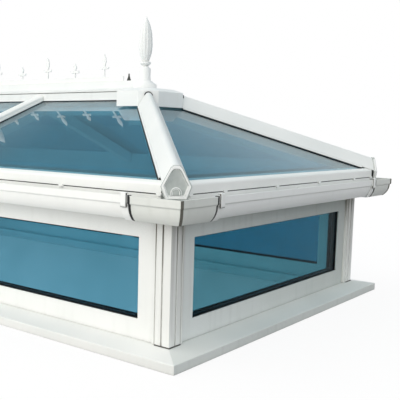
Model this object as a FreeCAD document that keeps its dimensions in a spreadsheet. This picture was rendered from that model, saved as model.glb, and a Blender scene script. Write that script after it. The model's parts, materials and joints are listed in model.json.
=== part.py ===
"""Hipped roof lantern: mitred sill, glazed side frames, ogee gutter, glazed roof, ridge and finials.

Millimetres. The origin is the centre of the sill's underside, +X runs along the ridge, +Z is up.
The long sides are front (-Y) and back (+Y), and the hipped ends are right (+X) and left (-X).
"""
import FreeCAD, Part
import math
import os
import re
import Sketcher

# Driving dimensions, one cell each
SIZES = {
    # sill
    "sill_length": 2700, "sill_width": 1500, "sill_nose": 30, "sill_rise": 12, "sill_lap": 24,
    "sill_round": 3, "drip_inset": 14, "drip_width": 8, "drip_depth": 6,
    # corner posts, with a ribbed outer corner
    "post_inset": 82, "rib_width": 28, "rib_groove": 6, "groove_depth": 6, "second_rib": 21, "rib_step": 2,
    # glazed side frames
    "frame_setback": 12, "frame_depth": 58, "frame_height": 388, "rail_width": 65, "mullion_width": 80,
    "frame_lip": 6, "rebate_cover": 14, "edge_clearance": 2,
    "gasket_thick": 3, "gasket_show": 2, "pane_thick": 4, "cavity": 16, "spacer_show": 4,
    # eaves gutter
    "gutter_gap": 4, "gutter_height": 70, "gutter_lip": 31, "gutter_wall": 3, "gutter_back_rise": 6,
    "lip_drop": 22, "lip_step": 5, "ogee_sweep": 20, "ogee_radius": 58,
    "corner_leg": 185, "corner_proud": 4, "union_width": 26, "union_hook": 9, "hook_thick": 2,
    "seal_width": 6, "seal_proud": 3, "brace_width": 24, "brace_thick": 3, "brace_drop": 6,
    # glazed roof
    "roof_pitch": 22.5, "eave_rise": 98, "glass_low": 34, "glass_top_gap": 12, "end_glass_top_gap": 60,
    "roof_pane": 6, "roof_cavity": 12, "roof_spacer": 12, "pane_step": 38, "seat_gap": 4, "cap_lift": 7,
    "web_half": 8, "web_clearance": 2, "roof_overrun": 100,
    "strip_inset": 6, "strip_width": 12, "strip_stop": 24, "flange_thick": 4, "flange_gap": 2,
    # trim over the lower edge of the roof glass
    "trim_front": 16, "trim_drop": 4, "trim_wall": 4, "trim_round": 9, "trim_slack": 2,
    "trim_cover": 4, "drip_seal_inset": 3, "drip_seal_width": 12, "drip_seal_drop": 3,
    # hips
    "hip_half": 38, "hip_edge": 6, "hip_top_half": 11, "hip_rise": 47, "hip_crown": 15,
    "hip_start": 36, "bar_flange_half": 28, "bar_flange_depth": 50,
    "plate_neck": 3, "neck_share": 0.9, "plate_thick": 7, "plate_bevel": 3, "plate_draft": 45,
    "plate_top_half": 8.5, "plate_rise": 54, "plate_shoulder_half": 17.5, "plate_shoulder": 46,
    "plate_half": 45.5, "plate_waist": 7, "plate_foot_half": 31.5, "plate_foot": 46,
    "plate_share": 0.79, "plate_recess": 6, "recess_draft": 25,
    "arch_half": 15, "arch_spring": 10, "arch_radius": 15.2, "arch_proud": 3,
    "niche_half": 10, "niche_spring": 10, "niche_radius": 10.2, "niche_depth": 2,
    # glazing bars on the long slopes
    "bar_half": 26, "bar_rise": 20, "bar_chamfer": 5, "rafter_half": 22,
    # ridge
    "flashing_half": 52, "flashing_lean": 3, "flashing_rise": 28, "ridge_foot_half": 30, "ridge_foot": 4,
    "ridge_half": 44, "ridge_lip": 8, "ridge_neck_half": 20, "ridge_neck": 27, "ridge_cove": 30,
    "ridge_rise": 50, "ridge_rail_half": 12, "gasket_inset": 6, "gasket_proud": 4,
    # hubs at the ends of the ridge
    "hub_half": 140, "hub_chamfer": 58, "hub_back": 34, "hub_rise": 11, "hub_crown": 14, "hub_taper": 70,
    "boss_apothem": 60, "boss_drop": 78,
    # finials
    "base_radius": 50, "base_rise": 20, "base_bevel": 18, "shaft_radius": 23, "shaft_rise": 48,
    "neck_radius": 11, "neck_rise": 20, "ring_radius": 23, "ring_rise": 8, "bud_foot": 13,
    "bud_radius": 28, "bud_low_rise": 86, "bud_high_rise": 98, "bud_low_curve": 150, "bud_high_curve": 190,
    "bud_tip": 2,
    # cresting
    "crest_thick": 6, "crest_rail": 22, "crest_stop": 120, "crest_end": 235, "tall_motif": 98,
    "short_motif": 64, "stem_half": 4, "arm_half": 26, "arm_height": 34, "arm_thick": 10, "arm_curve": 30,
    "spear_half": 11, "spear_height": 58, "spear_curve": 50,
}

# Heights and places worked out from the driving dimensions
HALF_LENGTH = "(sill_length / 2)"
HALF_WIDTH = "(sill_width / 2)"
BED = "(sill_nose + sill_rise)"
POST = "(frame_setback + frame_depth)"
FACE = "(post_inset + frame_setback)"
INNER = "(post_inset + frame_setback + frame_depth)"
SILL_BACK = "(post_inset + frame_setback + frame_depth + sill_lap)"
FRAME_TOP = "(sill_nose + sill_rise + frame_height)"
GUTTER_BOTTOM = f"({FRAME_TOP} + gutter_gap)"
GUTTER_TOP = f"({FRAME_TOP} + gutter_gap + gutter_height)"
EAVE = f"({FRAME_TOP} + eave_rise)"
SLOPE = "tan(roof_pitch)"
HIP_SLOPE = "(tan(roof_pitch) / sqrt(2))"
UNIT = "((2 * roof_pane + roof_cavity) / cos(roof_pitch))"
SEAT = "((2 * roof_pane + roof_cavity) / cos(roof_pitch) + seat_gap)"
HIP_GAP = "((web_half + web_clearance) * sqrt(2))"
BAR_GAP = "(web_half + web_clearance)"
RIDGE_END = "(sill_length / 2 - sill_width / 2)"
RIDGE_LINE = f"({EAVE} + sill_width / 2 * tan(roof_pitch))"
HUB_REACH = "((2 * hub_half - hub_chamfer) / 2)"
FLASHING_TOP = f"({RIDGE_LINE} - flashing_half * tan(roof_pitch) + cap_lift + flashing_rise)"
CREST_FOOT = f"({FLASHING_TOP} + ridge_rise)"
CREST_STEP = f"(({RIDGE_END} - crest_end) / 2)"
HUB_TOP = f"({RIDGE_LINE} + hub_rise)"
FINIAL_FOOT = f"({HUB_TOP} + hub_crown)"
TRIM_BACK = "(glass_low + trim_cover)"
TRIM_BOTTOM = f"({EAVE} + glass_low * tan(roof_pitch) - {UNIT} - trim_drop)"
PANE_FALL = "(roof_pane / cos(roof_pitch))"

# Half a side of an octagon over the distance from its middle to that side
OCTAGON = "tan(22.5)"

doc = FreeCAD.newDocument("roof_lantern")
sheet = doc.addObject("Spreadsheet::Sheet", "sizes")
for row, (alias, number) in enumerate(SIZES.items(), start=1):
    sheet.set(f"A{row}", alias)
    sheet.set(f"B{row}", str(number))
    sheet.setAlias(f"B{row}", alias)
doc.recompute()

nodes = []


def bound(text):
    """Point each size named in an expression at its cell in the sheet."""
    return re.sub(r"[a-z_]+", lambda word: ("sizes." if word[0] in SIZES else "") + word[0], text)


def bind(item, prop, text):
    """Tie one property to an expression of the sheet's sizes."""
    item.setExpression(prop, bound(text))


def value(text):
    """The present value of an expression."""
    return float(sheet.evalExpression(bound(text)))


def height(inset):
    """The height of the roof glass at a distance in from the sill's nose, as an expression."""
    return f"({EAVE} + ({inset}) * tan(roof_pitch))"


def node(item, name):
    """List an object as a sub-part of the lantern."""
    item.Label = name
    nodes.append(item)
    return item


def mirrored(item, name, normal, base=("0", "0", "0")):
    """The mirror image of an object."""
    image = doc.addObject("Part::Mirroring", name)
    image.Source = item
    image.Normal = normal
    for axis, text in zip("xyz", base):
        bind(image, f"Base.{axis}", text)
    return image


def along_x(item, name):
    """The image at the other end."""
    return mirrored(item, name, (1, 0, 0))


def along_y(item, name):
    """The image on the other long side."""
    return mirrored(item, name, (0, 1, 0))


def four(item):
    """An object and its images at the other three corners."""
    twin = along_x(item, item.Name + "_x")
    return [item, twin, along_y(item, item.Name + "_y"), along_y(twin, item.Name + "_xy")]


def joined(name, items):
    """Several pieces that stand apart, as one object."""
    group = doc.addObject("Part::Compound", name)
    group.Links = items
    return group


def gather(name, items):
    """One sub-part of several like pieces that stand apart."""
    return node(joined(name, items), name)


def on_front(item):
    """Place a piece made with its y measured in from the sill's nose on the front."""
    bind(item, "Placement.Base.y", f"-{HALF_WIDTH}")
    return item


def on_right(item):
    """Place a piece made with its y measured in from the sill's nose on the right end."""
    item.Placement.Rotation = FreeCAD.Rotation(FreeCAD.Vector(0, 0, 1), 90)
    bind(item, "Placement.Base.x", HALF_LENGTH)
    return item


def box(name, low, high):
    """A box between two corners."""
    item = doc.addObject("Part::Box", name)
    for prop, axis, start, end in zip(("Length", "Width", "Height"), "xyz", low, high):
        bind(item, prop, f"({end}) - ({start})")
        bind(item, f"Placement.Base.{axis}", start)
    return item


def cut(name, base, tool):
    """One object less another."""
    item = doc.addObject("Part::Cut", name)
    item.Base = base
    item.Tool = tool
    return item


def common(name, base, tool):
    """What two objects share."""
    item = doc.addObject("Part::Common", name)
    item.Base = base
    item.Tool = tool
    return item


def fused(name, items):
    """Several objects joined as one solid."""
    item = doc.addObject("Part::MultiFuse", name)
    item.Shapes = items
    item.Refine = True
    return item


def arc_between(start, end, radius):
    """An arc from start to end, on the left of its travel for a positive radius."""
    chord = end - start
    left = FreeCAD.Vector(-chord.y, chord.x, 0).normalize()
    drop = math.sqrt(max(radius ** 2 - (chord.Length / 2) ** 2, 0))
    side = 1 if radius > 0 else -1
    centre = (start + end) * 0.5 - left * (side * drop)
    first, last = (end, start) if radius > 0 else (start, end)
    angles = [math.atan2(spot.y - centre.y, spot.x - centre.x) for spot in (first, last)]
    if angles[1] < angles[0]:
        angles[1] += 2 * math.pi
    circle = Part.Circle(centre, FreeCAD.Vector(0, 0, 1), abs(radius))
    return Part.ArcOfCircle(circle, angles[0], angles[1])


def add_loop(sketch, corners):
    """Add one closed outline to a sketch.

    A corner is (across, up), or (across, up, radius) where the side that ends there is an arc.
    """
    spots = [FreeCAD.Vector(value(corner[0]), value(corner[1]), 0) for corner in corners]
    first = sketch.GeometryCount
    total = len(corners)
    ends = []
    for index, corner in enumerate(corners):
        following = corners[(index + 1) % total]
        start = spots[index]
        end = spots[(index + 1) % total]
        if len(following) == 2:
            sketch.addGeometry(Part.LineSegment(start, end))
            ends.append((1, 2))
            continue
        radius = value(following[2])
        edge = sketch.addGeometry(arc_between(start, end, radius))
        ends.append((2, 1) if radius > 0 else (1, 2))
        rule = sketch.addConstraint(Sketcher.Constraint("Radius", edge, abs(radius)))
        sketch.setExpression(f"Constraints[{rule}]", bound(f"abs({following[2]})"))
    for index, corner in enumerate(corners):
        here = first + index
        there = first + (index + 1) % total
        follow = ends[(index + 1) % total][0]
        sketch.addConstraint(Sketcher.Constraint("Coincident", here, ends[index][1], there, follow))
        for kind, text, number in (("DistanceX", corner[0], spots[index].x),
                                   ("DistanceY", corner[1], spots[index].y)):
            rule = sketch.addConstraint(Sketcher.Constraint(kind, -1, 1, here, ends[index][0], number))
            sketch.setExpression(f"Constraints[{rule}]", bound(text))


def draw(body, name, plane, *loops, lift=None):
    """Sketch closed outlines on one of a body's origin planes, or lifted off it along its normal."""
    sketch = body.newObject("Sketcher::SketchObject", name)
    support = [item for item in body.Origin.OriginFeatures if item.Role == plane]
    sketch.AttachmentSupport = [(support[0], "")]
    sketch.MapMode = "FlatFace"
    if lift:
        bind(sketch, "AttachmentOffset.Base.z", lift)
    for corners in loops:
        add_loop(sketch, corners)
    return sketch


def pad(body, sketch, length, symmetric=False):
    """Extrude a sketch along its normal."""
    feature = body.newObject("PartDesign::Pad", sketch.Name + "_pad")
    feature.Profile = sketch
    feature.Midplane = symmetric
    bind(feature, "Length", length)
    return feature


def pocket(body, sketch, depth):
    """Cut a sketch back into the body."""
    feature = body.newObject("PartDesign::Pocket", sketch.Name + "_cut")
    feature.Profile = sketch
    bind(feature, "Length", depth)
    return feature


def pocket_up(body, sketch):
    """Cut a sketch on the ground plane right up through the body."""
    feature = body.newObject("PartDesign::Pocket", sketch.Name + "_cut")
    feature.Profile = sketch
    feature.Type = "ThroughAll"
    feature.Reversed = True
    return feature


def run(name, corners, half):
    """A straight length of a profile, centred along the side that it is made for."""
    body = doc.addObject("PartDesign::Body", name)
    pad(body, draw(body, name + "_profile", "YZ_Plane", corners), f"2 * ({half})", True)
    return body


def mitred_run(name, corners, half, near, far):
    """A length of a profile whose ends are mitred, reaching half the side less its depth."""
    body = run(name, corners, f"{half} - ({near})")
    ends = []
    for side in ("", "-"):
        ends.append([(f"{side}({half} - ({near}))", near),
                     (f"{side}({half} - ({near}))", far),
                     (f"{side}({half} - ({far}))", far)])
    pocket_up(body, draw(body, name + "_mitre", "XY_Plane", *ends))
    return body


def slope_run(name, corners, turn, origin, length, rise):
    """A profile in an upright plane, extruded up a slope with both ends left upright."""
    body = doc.addObject("PartDesign::Body", name)
    feature = pad(body, draw(body, name + "_profile", "XZ_Plane", corners), length)
    feature.UseCustomVector = True
    feature.AlongSketchNormal = True
    feature.Direction = FreeCAD.Vector(0, 1, 0)
    bind(feature, "Direction.z", rise)
    body.Placement.Rotation = FreeCAD.Rotation(FreeCAD.Vector(0, 0, 1), turn)
    for axis, text in zip("xyz", origin):
        bind(body, f"Placement.Base.{axis}", text)
    return body


def prism(name, corners):
    """An upright prism on a plan outline, tall enough to pass through the roof."""
    body = doc.addObject("PartDesign::Body", name)
    pad(body, draw(body, name + "_plan", "XY_Plane", corners), f"2 * {RIDGE_LINE}")
    return body


def both_halves(corners, crown=()):
    """Close an outline drawn for the right half by its image on the left, with a bend across the top."""
    left = []
    for index in range(len(corners) - 1, -1, -1):
        across, up = corners[index][:2]
        if across == "0":
            continue
        bend = corners[index + 1][2:] if index + 1 < len(corners) else crown
        left.append((f"-({across})", up) + tuple(bend))
    return list(corners) + left


def on_both_sides(maker, name, long_name, end_name):
    """Make a piece for the front and one for the right end, and their images on the far sides."""
    front = node(on_front(maker(f"{name}_{long_name[0]}", HALF_LENGTH)), f"{name}_{long_name[0]}")
    right = node(on_right(maker(f"{name}_{end_name[0]}", HALF_WIDTH)), f"{name}_{end_name[0]}")
    node(along_y(front, f"{name}_{long_name[1]}"), f"{name}_{long_name[1]}")
    node(along_x(right, f"{name}_{end_name[1]}"), f"{name}_{end_name[1]}")


LONG_SIDES = ("front", "back")
END_SIDES = ("right", "left")


# Sill
def make_sill(name, half):
    corners = [
        ("sill_round", "0"),
        ("0", "sill_round", "sill_round"),
        ("0", "sill_nose - sill_round"),
        ("sill_round", "sill_nose + sill_rise * sill_round / post_inset", "sill_round"),
        ("post_inset", BED),
        (SILL_BACK, BED),
        (SILL_BACK, "0"),
        ("drip_inset + drip_width", "0"),
        ("drip_inset + drip_width", "drip_depth"),
        ("drip_inset", "drip_depth"),
        ("drip_inset", "0"),
    ]
    return mitred_run(name, corners, half, "0", SILL_BACK)


on_both_sides(make_sill, "sill", LONG_SIDES, END_SIDES)


# Corner posts
def make_post(name):
    """The post at the front right corner, drawn from its outer corner inwards."""
    face = [
        ("0", "0"),
        ("-(rib_width)", "0"),
        ("-(rib_width)", "groove_depth"),
        ("-(rib_width + rib_groove)", "groove_depth"),
        ("-(rib_width + rib_groove)", "0"),
        ("-(rib_width + rib_groove + second_rib)", "0"),
        ("-(rib_width + rib_groove + second_rib)", "groove_depth"),
        ("-(rib_width + 2 * rib_groove + second_rib)", "groove_depth"),
        ("-(rib_width + 2 * rib_groove + second_rib)", "rib_step"),
        (f"-{POST}", "rib_step"),
        (f"-{POST}", POST),
    ]
    other = [(f"-({up})", f"-({across})") for across, up in face[-2:0:-1]]
    body = doc.addObject("PartDesign::Body", name)
    pad(body, draw(body, name + "_plan", "XY_Plane", face + other), "frame_height")
    bind(body, "Placement.Base.x", f"{HALF_LENGTH} - post_inset")
    bind(body, "Placement.Base.y", f"-{HALF_WIDTH} + post_inset")
    bind(body, "Placement.Base.z", BED)
    return body


CORNERS = ("front_right", "front_left", "back_right", "back_left")
gather("corner_posts", four(make_post("post")))

# Side frames, their glass and what holds it
GLASS_FACE = f"({FACE} + frame_lip + gasket_thick)"
SIGHT_LOW = f"({BED} + rail_width)"
SIGHT_HIGH = f"({FRAME_TOP} - rail_width)"
UNIT_GROW = "(rebate_cover - edge_clearance)"


def span(half):
    """Half the length of a side frame between its posts."""
    return f"({half} - post_inset - {POST})"


def block(name, sight, grow, near, far):
    """A box over one sight opening, grown past its edges, between two depths."""
    low = (f"{sight[0]} - ({grow})", near, f"{SIGHT_LOW} - ({grow})")
    high = (f"{sight[1]} + ({grow})", far, f"{SIGHT_HIGH} + ({grow})")
    return box(name, low, high)


def ring(name, sight, outer, inner, near, far):
    """A rectangular ring round one sight opening."""
    return cut(name, block(name + "_solid", sight, outer, near, far),
               block(name + "_hole", sight, inner, near, far))


def make_frame(name, half, sights):
    """A welded frame with a rebate behind the lip of each opening."""
    solid = box(name + "_solid", (f"-{span(half)}", FACE, BED), (span(half), INNER, FRAME_TOP))
    holes = []
    for index, sight in enumerate(sights):
        holes.append(block(f"{name}_sight_{index}", sight, "0", FACE, INNER))
        holes.append(block(f"{name}_rebate_{index}", sight, "rebate_cover", f"{FACE} + frame_lip", INNER))
    return cut(name, solid, fused(name + "_holes", holes))


def make_glazing(name, sight, place):
    """One sealed unit of a side, with its gasket, spacer and bead."""
    inside = f"({GLASS_FACE} + 2 * pane_thick + cavity)"
    behind = f"({GLASS_FACE} + pane_thick)"
    ahead = f"({GLASS_FACE} + pane_thick + cavity)"
    return {
        "panes": [block(name + "_outer", sight, UNIT_GROW, GLASS_FACE, behind),
                  block(name + "_inner", sight, UNIT_GROW, ahead, inside)],
        "spacer": place(ring(name + "_spacer", sight, UNIT_GROW, "-spacer_show", behind, ahead)),
        "gasket": place(ring(name + "_gasket", sight, "rebate_cover", "-gasket_show",
                             f"{FACE} + frame_lip", GLASS_FACE)),
        "bead": place(ring(name + "_bead", sight, "rebate_cover", "0", inside, INNER)),
    }


right_sight = ("mullion_width / 2", f"{span(HALF_LENGTH)} - rail_width")
left_sight = (f"-({right_sight[1]})", "-mullion_width / 2")
end_sight = (f"-({span(HALF_WIDTH)} - rail_width)", f"{span(HALF_WIDTH)} - rail_width")

long_frame = make_frame("frame_front", HALF_LENGTH, [left_sight, right_sight])
frame_front = node(on_front(long_frame), "frame_front")
frame_right = node(on_right(make_frame("frame_right", HALF_WIDTH, [end_sight])), "frame_right")
node(along_y(frame_front, "frame_back"), "frame_back")
node(along_x(frame_right, "frame_left"), "frame_left")

front_unit = make_glazing("front_unit", right_sight, on_front)
end_unit = make_glazing("end_unit", end_sight, on_right)
front_panes = front_unit["panes"] + [along_x(pane, pane.Name + "_x") for pane in front_unit["panes"]]
glass_front = on_front(gather("glass_front", front_panes))
node(along_y(glass_front, "glass_back"), "glass_back")
end_panes = on_right(joined("end_panes", end_unit["panes"]))
gather("glass_ends", [end_panes, along_x(end_panes, "end_panes_x")])


def side_pieces(kind):
    """One kind of glazing piece at every side unit."""
    return four(front_unit[kind]) + [end_unit[kind], along_x(end_unit[kind], end_unit[kind].Name + "_x")]


gather("glazing_beads", side_pieces("bead"))


# Eaves beam on top of the frames
def make_beam(name, half):
    """A beam whose flange reaches out under the single pane at the edge of the roof glass."""
    stop = "(glass_low + pane_step - flange_gap)"
    under = f"({PANE_FALL} + flange_gap)"
    corners = [
        (FACE, FRAME_TOP),
        (FACE, f"{height(FACE)} - {SEAT} - flange_thick"),
        (TRIM_BACK, f"{height(TRIM_BACK)} - {SEAT} - flange_thick"),
        (TRIM_BACK, f"{height(TRIM_BACK)} - {under}"),
        (stop, f"{height(stop)} - {under}"),
        (stop, f"{height(stop)} - {SEAT}"),
        (INNER, f"{height(INNER)} - {SEAT}"),
        (INNER, FRAME_TOP),
    ]
    return mitred_run(name, corners, half, TRIM_BACK, INNER)


long_beam = on_front(make_beam("long_beam", HALF_LENGTH))
end_beam = on_right(make_beam("end_beam", HALF_WIDTH))
gather("eaves_beams_long", [long_beam, along_y(long_beam, "long_beam_y")])
gather("eaves_beams_end", [end_beam, along_x(end_beam, "end_beam_x")])


# Gutter
def outer_ogee(grow):
    """The outside of the gutter from its lip to its bottom, grown by a distance."""
    return [
        (f"-(gutter_lip + {grow})", GUTTER_TOP),
        (f"-(gutter_lip + {grow})", f"{GUTTER_TOP} - lip_drop"),
        (f"-(gutter_lip + {grow}) + lip_step", f"{GUTTER_TOP} - lip_drop - lip_step"),
        (f"-(gutter_lip + {grow}) + lip_step + ogee_sweep", f"{GUTTER_BOTTOM} - {grow}",
         f"-(ogee_radius + {grow})"),
    ]


def gutter_outline(grow):
    """The section of a gutter whose outside is grown and whose trough stays the same."""
    trough = [
        (f"{FACE} - gutter_wall", f"{GUTTER_TOP} + gutter_back_rise"),
        (f"{FACE} - gutter_wall", f"{GUTTER_BOTTOM} + gutter_wall"),
        ("-gutter_lip + lip_step + ogee_sweep + gutter_wall", f"{GUTTER_BOTTOM} + gutter_wall"),
        ("-gutter_lip + lip_step + gutter_wall", f"{GUTTER_TOP} - lip_drop - lip_step",
         "ogee_radius - gutter_wall"),
        ("-gutter_lip + gutter_wall", f"{GUTTER_TOP} - lip_drop"),
        ("-gutter_lip + gutter_wall", GUTTER_TOP),
    ]
    back = [(FACE, f"{GUTTER_BOTTOM} - {grow}"), (FACE, f"{GUTTER_TOP} + gutter_back_rise")]
    return outer_ogee(grow) + back + trough


def collar_outline(grow):
    """The section of a strap that wraps the outside of the gutter and hooks over its lip."""
    hook = [
        ("-gutter_lip + union_hook", GUTTER_TOP),
        ("-gutter_lip + union_hook", f"{GUTTER_TOP} + hook_thick"),
        (f"-(gutter_lip + {grow})", f"{GUTTER_TOP} + hook_thick"),
    ]
    outside = outer_ogee(grow)[1:] + [(FACE, f"{GUTTER_BOTTOM} - {grow}"), (FACE, GUTTER_BOTTOM)]
    inside = [
        ("-gutter_lip + lip_step + ogee_sweep", GUTTER_BOTTOM),
        ("-gutter_lip + lip_step", f"{GUTTER_TOP} - lip_drop - lip_step", "ogee_radius"),
        ("-gutter_lip", f"{GUTTER_TOP} - lip_drop"),
        ("-gutter_lip", GUTTER_TOP),
    ]
    return hook + outside + inside


def run_end(half):
    """Where a gutter run stops, short of the seal at the corner piece."""
    return f"({half} + gutter_lip + corner_proud - corner_leg - seal_width)"


def make_gutter(name, half):
    return run(name, gutter_outline("0"), run_end(half))


def make_collar(name, grow, place, start, width):
    """A strap round the gutter, at a distance along the front or the right end."""
    body = doc.addObject("PartDesign::Body", name)
    pad(body, draw(body, name + "_profile", "YZ_Plane", collar_outline(grow)), width)
    place(body)
    bind(body, f"Placement.Base.{'x' if place is on_front else 'y'}", start)
    return body


on_both_sides(make_gutter, "gutter", LONG_SIDES, END_SIDES)

unions = []
seals = []
for side_name, half_side, place_side in (("long", HALF_LENGTH, on_front), ("end", HALF_WIDTH, on_right)):
    stop = run_end(half_side)
    union = make_collar(f"union_{side_name}", "corner_proud", place_side,
                        f"{stop} - union_width", "union_width")
    seal = make_collar(f"seal_{side_name}", "seal_proud", place_side, stop, "seal_width")
    unions += four(union)
    seals += four(seal)
gather("gutter_unions", unions)
gather("gutter_seals", seals)


def make_gutter_corner(name):
    """The corner piece at the front right: one mitred leg and its image across the mitre."""
    reach = "(gutter_lip + corner_proud)"
    leg = doc.addObject("PartDesign::Body", name + "_leg")
    pad(leg, draw(leg, name + "_profile", "YZ_Plane", gutter_outline("corner_proud")), "corner_leg")
    waste = [(f"corner_leg - {FACE} - {reach}", FACE), ("corner_leg", FACE), ("corner_leg", f"-{reach}")]
    pocket_up(leg, draw(leg, name + "_mitre", "XY_Plane", waste))
    on_front(leg)
    bind(leg, "Placement.Base.x", f"{HALF_LENGTH} + {reach} - corner_leg")
    image = mirrored(leg, name + "_image", (1, 1, 0), (HALF_LENGTH, f"-{HALF_WIDTH}", "0"))
    return fused(name, [leg, image])


for corner_name, piece in zip(CORNERS, four(make_gutter_corner("gutter_corner"))):
    node(piece, f"gutter_corner_{corner_name}")


def make_brace(name, middle):
    """A flat brace across the gutter, under its lip, at a distance along the side."""
    low = (f"{middle} - brace_width / 2", "-gutter_lip + gutter_wall",
           f"{GUTTER_TOP} - brace_drop - brace_thick")
    high = (f"{middle} + brace_width / 2", f"{FACE} - gutter_wall", f"{GUTTER_TOP} - brace_drop")
    return box(name, low, high)


halfway = f"({run_end(HALF_LENGTH)} / 2)"
front_braces = on_front(joined("front_braces", [
    make_brace("brace_low", f"-{halfway}"),
    make_brace("brace_mid", "0"),
    make_brace("brace_high", halfway),
]))
end_brace = on_right(joined("end_braces", [make_brace("brace_end", "0")]))
gather("gutter_braces", [front_braces, along_y(front_braces, "front_braces_y"),
                         end_brace, along_x(end_brace, "end_braces_x")])


# Trim over the lower edge of the roof glass, stopped behind the hips' lower ends
def make_hip_room(name):
    """The space in front of a hip's upright lower end, out past the corner of the trims."""
    along = f"({HALF_LENGTH} - hip_start)"
    across = f"(-{HALF_WIDTH} + hip_start)"
    reach = "(2 * hip_start)"
    return prism(name, [
        (f"{along} - {reach}", f"{across} - {reach}"),
        (along, f"{across} - 2 * {reach}"),
        (f"{along} + 2 * {reach}", across),
        (f"{along} + {reach}", f"{across} + {reach}"),
    ])


def make_trim(name, half):
    inside = "(glass_low - trim_slack)"
    shoulder = "(trim_front + trim_round)"
    top = "(trim_wall + trim_slack)"
    corners = [
        (TRIM_BACK, f"{height(TRIM_BACK)} + {top}"),
        (shoulder, f"{height(shoulder)} + {top}"),
        ("trim_front", f"{height(shoulder)} + {top} - trim_round", "-trim_round"),
        ("trim_front", TRIM_BOTTOM),
        (TRIM_BACK, TRIM_BOTTOM),
        (TRIM_BACK, f"{TRIM_BOTTOM} + trim_wall"),
        (inside, f"{TRIM_BOTTOM} + trim_wall"),
        (inside, f"{height(inside)} + trim_slack"),
        (TRIM_BACK, f"{height(TRIM_BACK)} + trim_slack"),
    ]
    return mitred_run(name, corners, f"({half} - {HIP_GAP})", "trim_front", TRIM_BACK)


hip_rooms = joined("hip_rooms", four(make_hip_room("hip_room")))
trim_front_run = cut("trim_front_run", on_front(make_trim("front_trim", HALF_LENGTH)), hip_rooms)
trim_right_run = cut("trim_right_run", on_right(make_trim("right_trim", HALF_WIDTH)), hip_rooms)
gather("eaves_trims", [trim_front_run, along_y(trim_front_run, "trim_back_run"),
                       trim_right_run, along_x(trim_right_run, "trim_left_run")])


# Roof glass
def roof_wedge(name, raise_by):
    """The hipped volume under the roof, its surface raised or lowered."""
    item = doc.addObject("Part::Wedge", name)
    bind(item, "Xmin", f"-({HALF_LENGTH} + roof_overrun)")
    bind(item, "Xmax", f"{HALF_LENGTH} + roof_overrun")
    bind(item, "Zmin", f"-({HALF_WIDTH} + roof_overrun)")
    bind(item, "Zmax", f"{HALF_WIDTH} + roof_overrun")
    bind(item, "X2min", f"-{RIDGE_END}")
    bind(item, "X2max", RIDGE_END)
    item.Z2min = 0
    item.Z2max = 0
    item.Ymin = 0
    bind(item, "Ymax", f"({HALF_WIDTH} + roof_overrun) * {SLOPE}")
    item.Placement.Rotation = FreeCAD.Rotation(FreeCAD.Vector(1, 0, 0), 90)
    bind(item, "Placement.Base.z", f"{EAVE} - roof_overrun * {SLOPE} + ({raise_by})")
    return item


def front_plan(inset, step="0"):
    """The plan of the front right roof unit, drawn in all round and stepped back at the eaves."""
    low = f"(glass_low + {inset} + {step})"
    high = f"({HALF_WIDTH} - glass_top_gap - {inset})"
    slant = f"({HIP_GAP} + {inset} * sqrt(2))"
    return [
        (f"{BAR_GAP} + {inset}", f"-{HALF_WIDTH} + {low}"),
        (f"{HALF_LENGTH} - {low} - {slant}", f"-{HALF_WIDTH} + {low}"),
        (f"{HALF_LENGTH} - {high} - {slant}", f"-{HALF_WIDTH} + {high}"),
        (f"{BAR_GAP} + {inset}", f"-{HALF_WIDTH} + {high}"),
    ]


def end_plan(inset, step="0"):
    """The plan of the roof unit on the right end, drawn in and stepped back likewise."""
    low = f"(glass_low + {inset} + {step})"
    high = f"({HALF_WIDTH} - end_glass_top_gap - {inset})"
    slant = f"({HIP_GAP} + {inset} * sqrt(2))"
    return [
        (f"{HALF_LENGTH} - {low}", f"-({HALF_WIDTH} - {low} - {slant})"),
        (f"{HALF_LENGTH} - {low}", f"{HALF_WIDTH} - {low} - {slant}"),
        (f"{HALF_LENGTH} - {high}", f"{HALF_WIDTH} - {high} - {slant}"),
        (f"{HALF_LENGTH} - {high}", f"-({HALF_WIDTH} - {high} - {slant})"),
    ]


levels = ["0", f"-{PANE_FALL}", f"{PANE_FALL} - {UNIT}", f"-{UNIT}"]
wedges = [roof_wedge(f"roof_level_{index}", level) for index, level in enumerate(levels)]
outer_slab = cut("outer_slab", wedges[0], wedges[1])
cavity_slab = cut("cavity_slab", wedges[1], wedges[2])
inner_slab = cut("inner_slab", wedges[2], wedges[3])


def make_roof_unit(name, plan):
    """The two panes of a sealed roof unit and the spacer round the edge of the shorter, inner one."""
    whole = prism(name + "_whole", plan("0"))
    stepped = prism(name + "_stepped", plan("0", "pane_step"))
    middle = prism(name + "_middle", plan("roof_spacer", "pane_step"))
    rim = cut(name + "_rim", stepped, middle)
    return {
        "outer": common(name + "_outer", outer_slab, whole),
        "inner": common(name + "_inner", inner_slab, stepped),
        "spacer": common(name + "_spacer", cavity_slab, rim),
    }


front_roof = make_roof_unit("front_roof", front_plan)
end_roof = make_roof_unit("end_roof", end_plan)
slope_panes = [front_roof["outer"], front_roof["inner"]]
slope_panes += [along_x(pane, pane.Name + "_x") for pane in slope_panes]
roof_front = gather("roof_glass_front", slope_panes)
node(along_y(roof_front, "roof_glass_back"), "roof_glass_back")
end_slopes = joined("end_slopes", [end_roof["outer"], end_roof["inner"]])
gather("roof_glass_ends", [end_slopes, along_x(end_slopes, "end_slopes_x")])
roof_spacers = four(front_roof["spacer"])
roof_spacers += [end_roof["spacer"], along_x(end_roof["spacer"], "end_roof_spacer_x")]
gather("glazing_spacers", side_pieces("spacer") + roof_spacers)


# Hips
def on_hip(inset):
    """A point on the roof's front right hip, at a distance in from both noses."""
    return (f"{HALF_LENGTH} - ({inset})", f"-{HALF_WIDTH} + ({inset})", height(inset))


def hip_piece(name, corners, start, end):
    """A profile run up the front right hip between two distances in from the noses."""
    return slope_run(name, corners, 45, on_hip(start), f"({end} - ({start})) * sqrt(2)", HIP_SLOPE)


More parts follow.
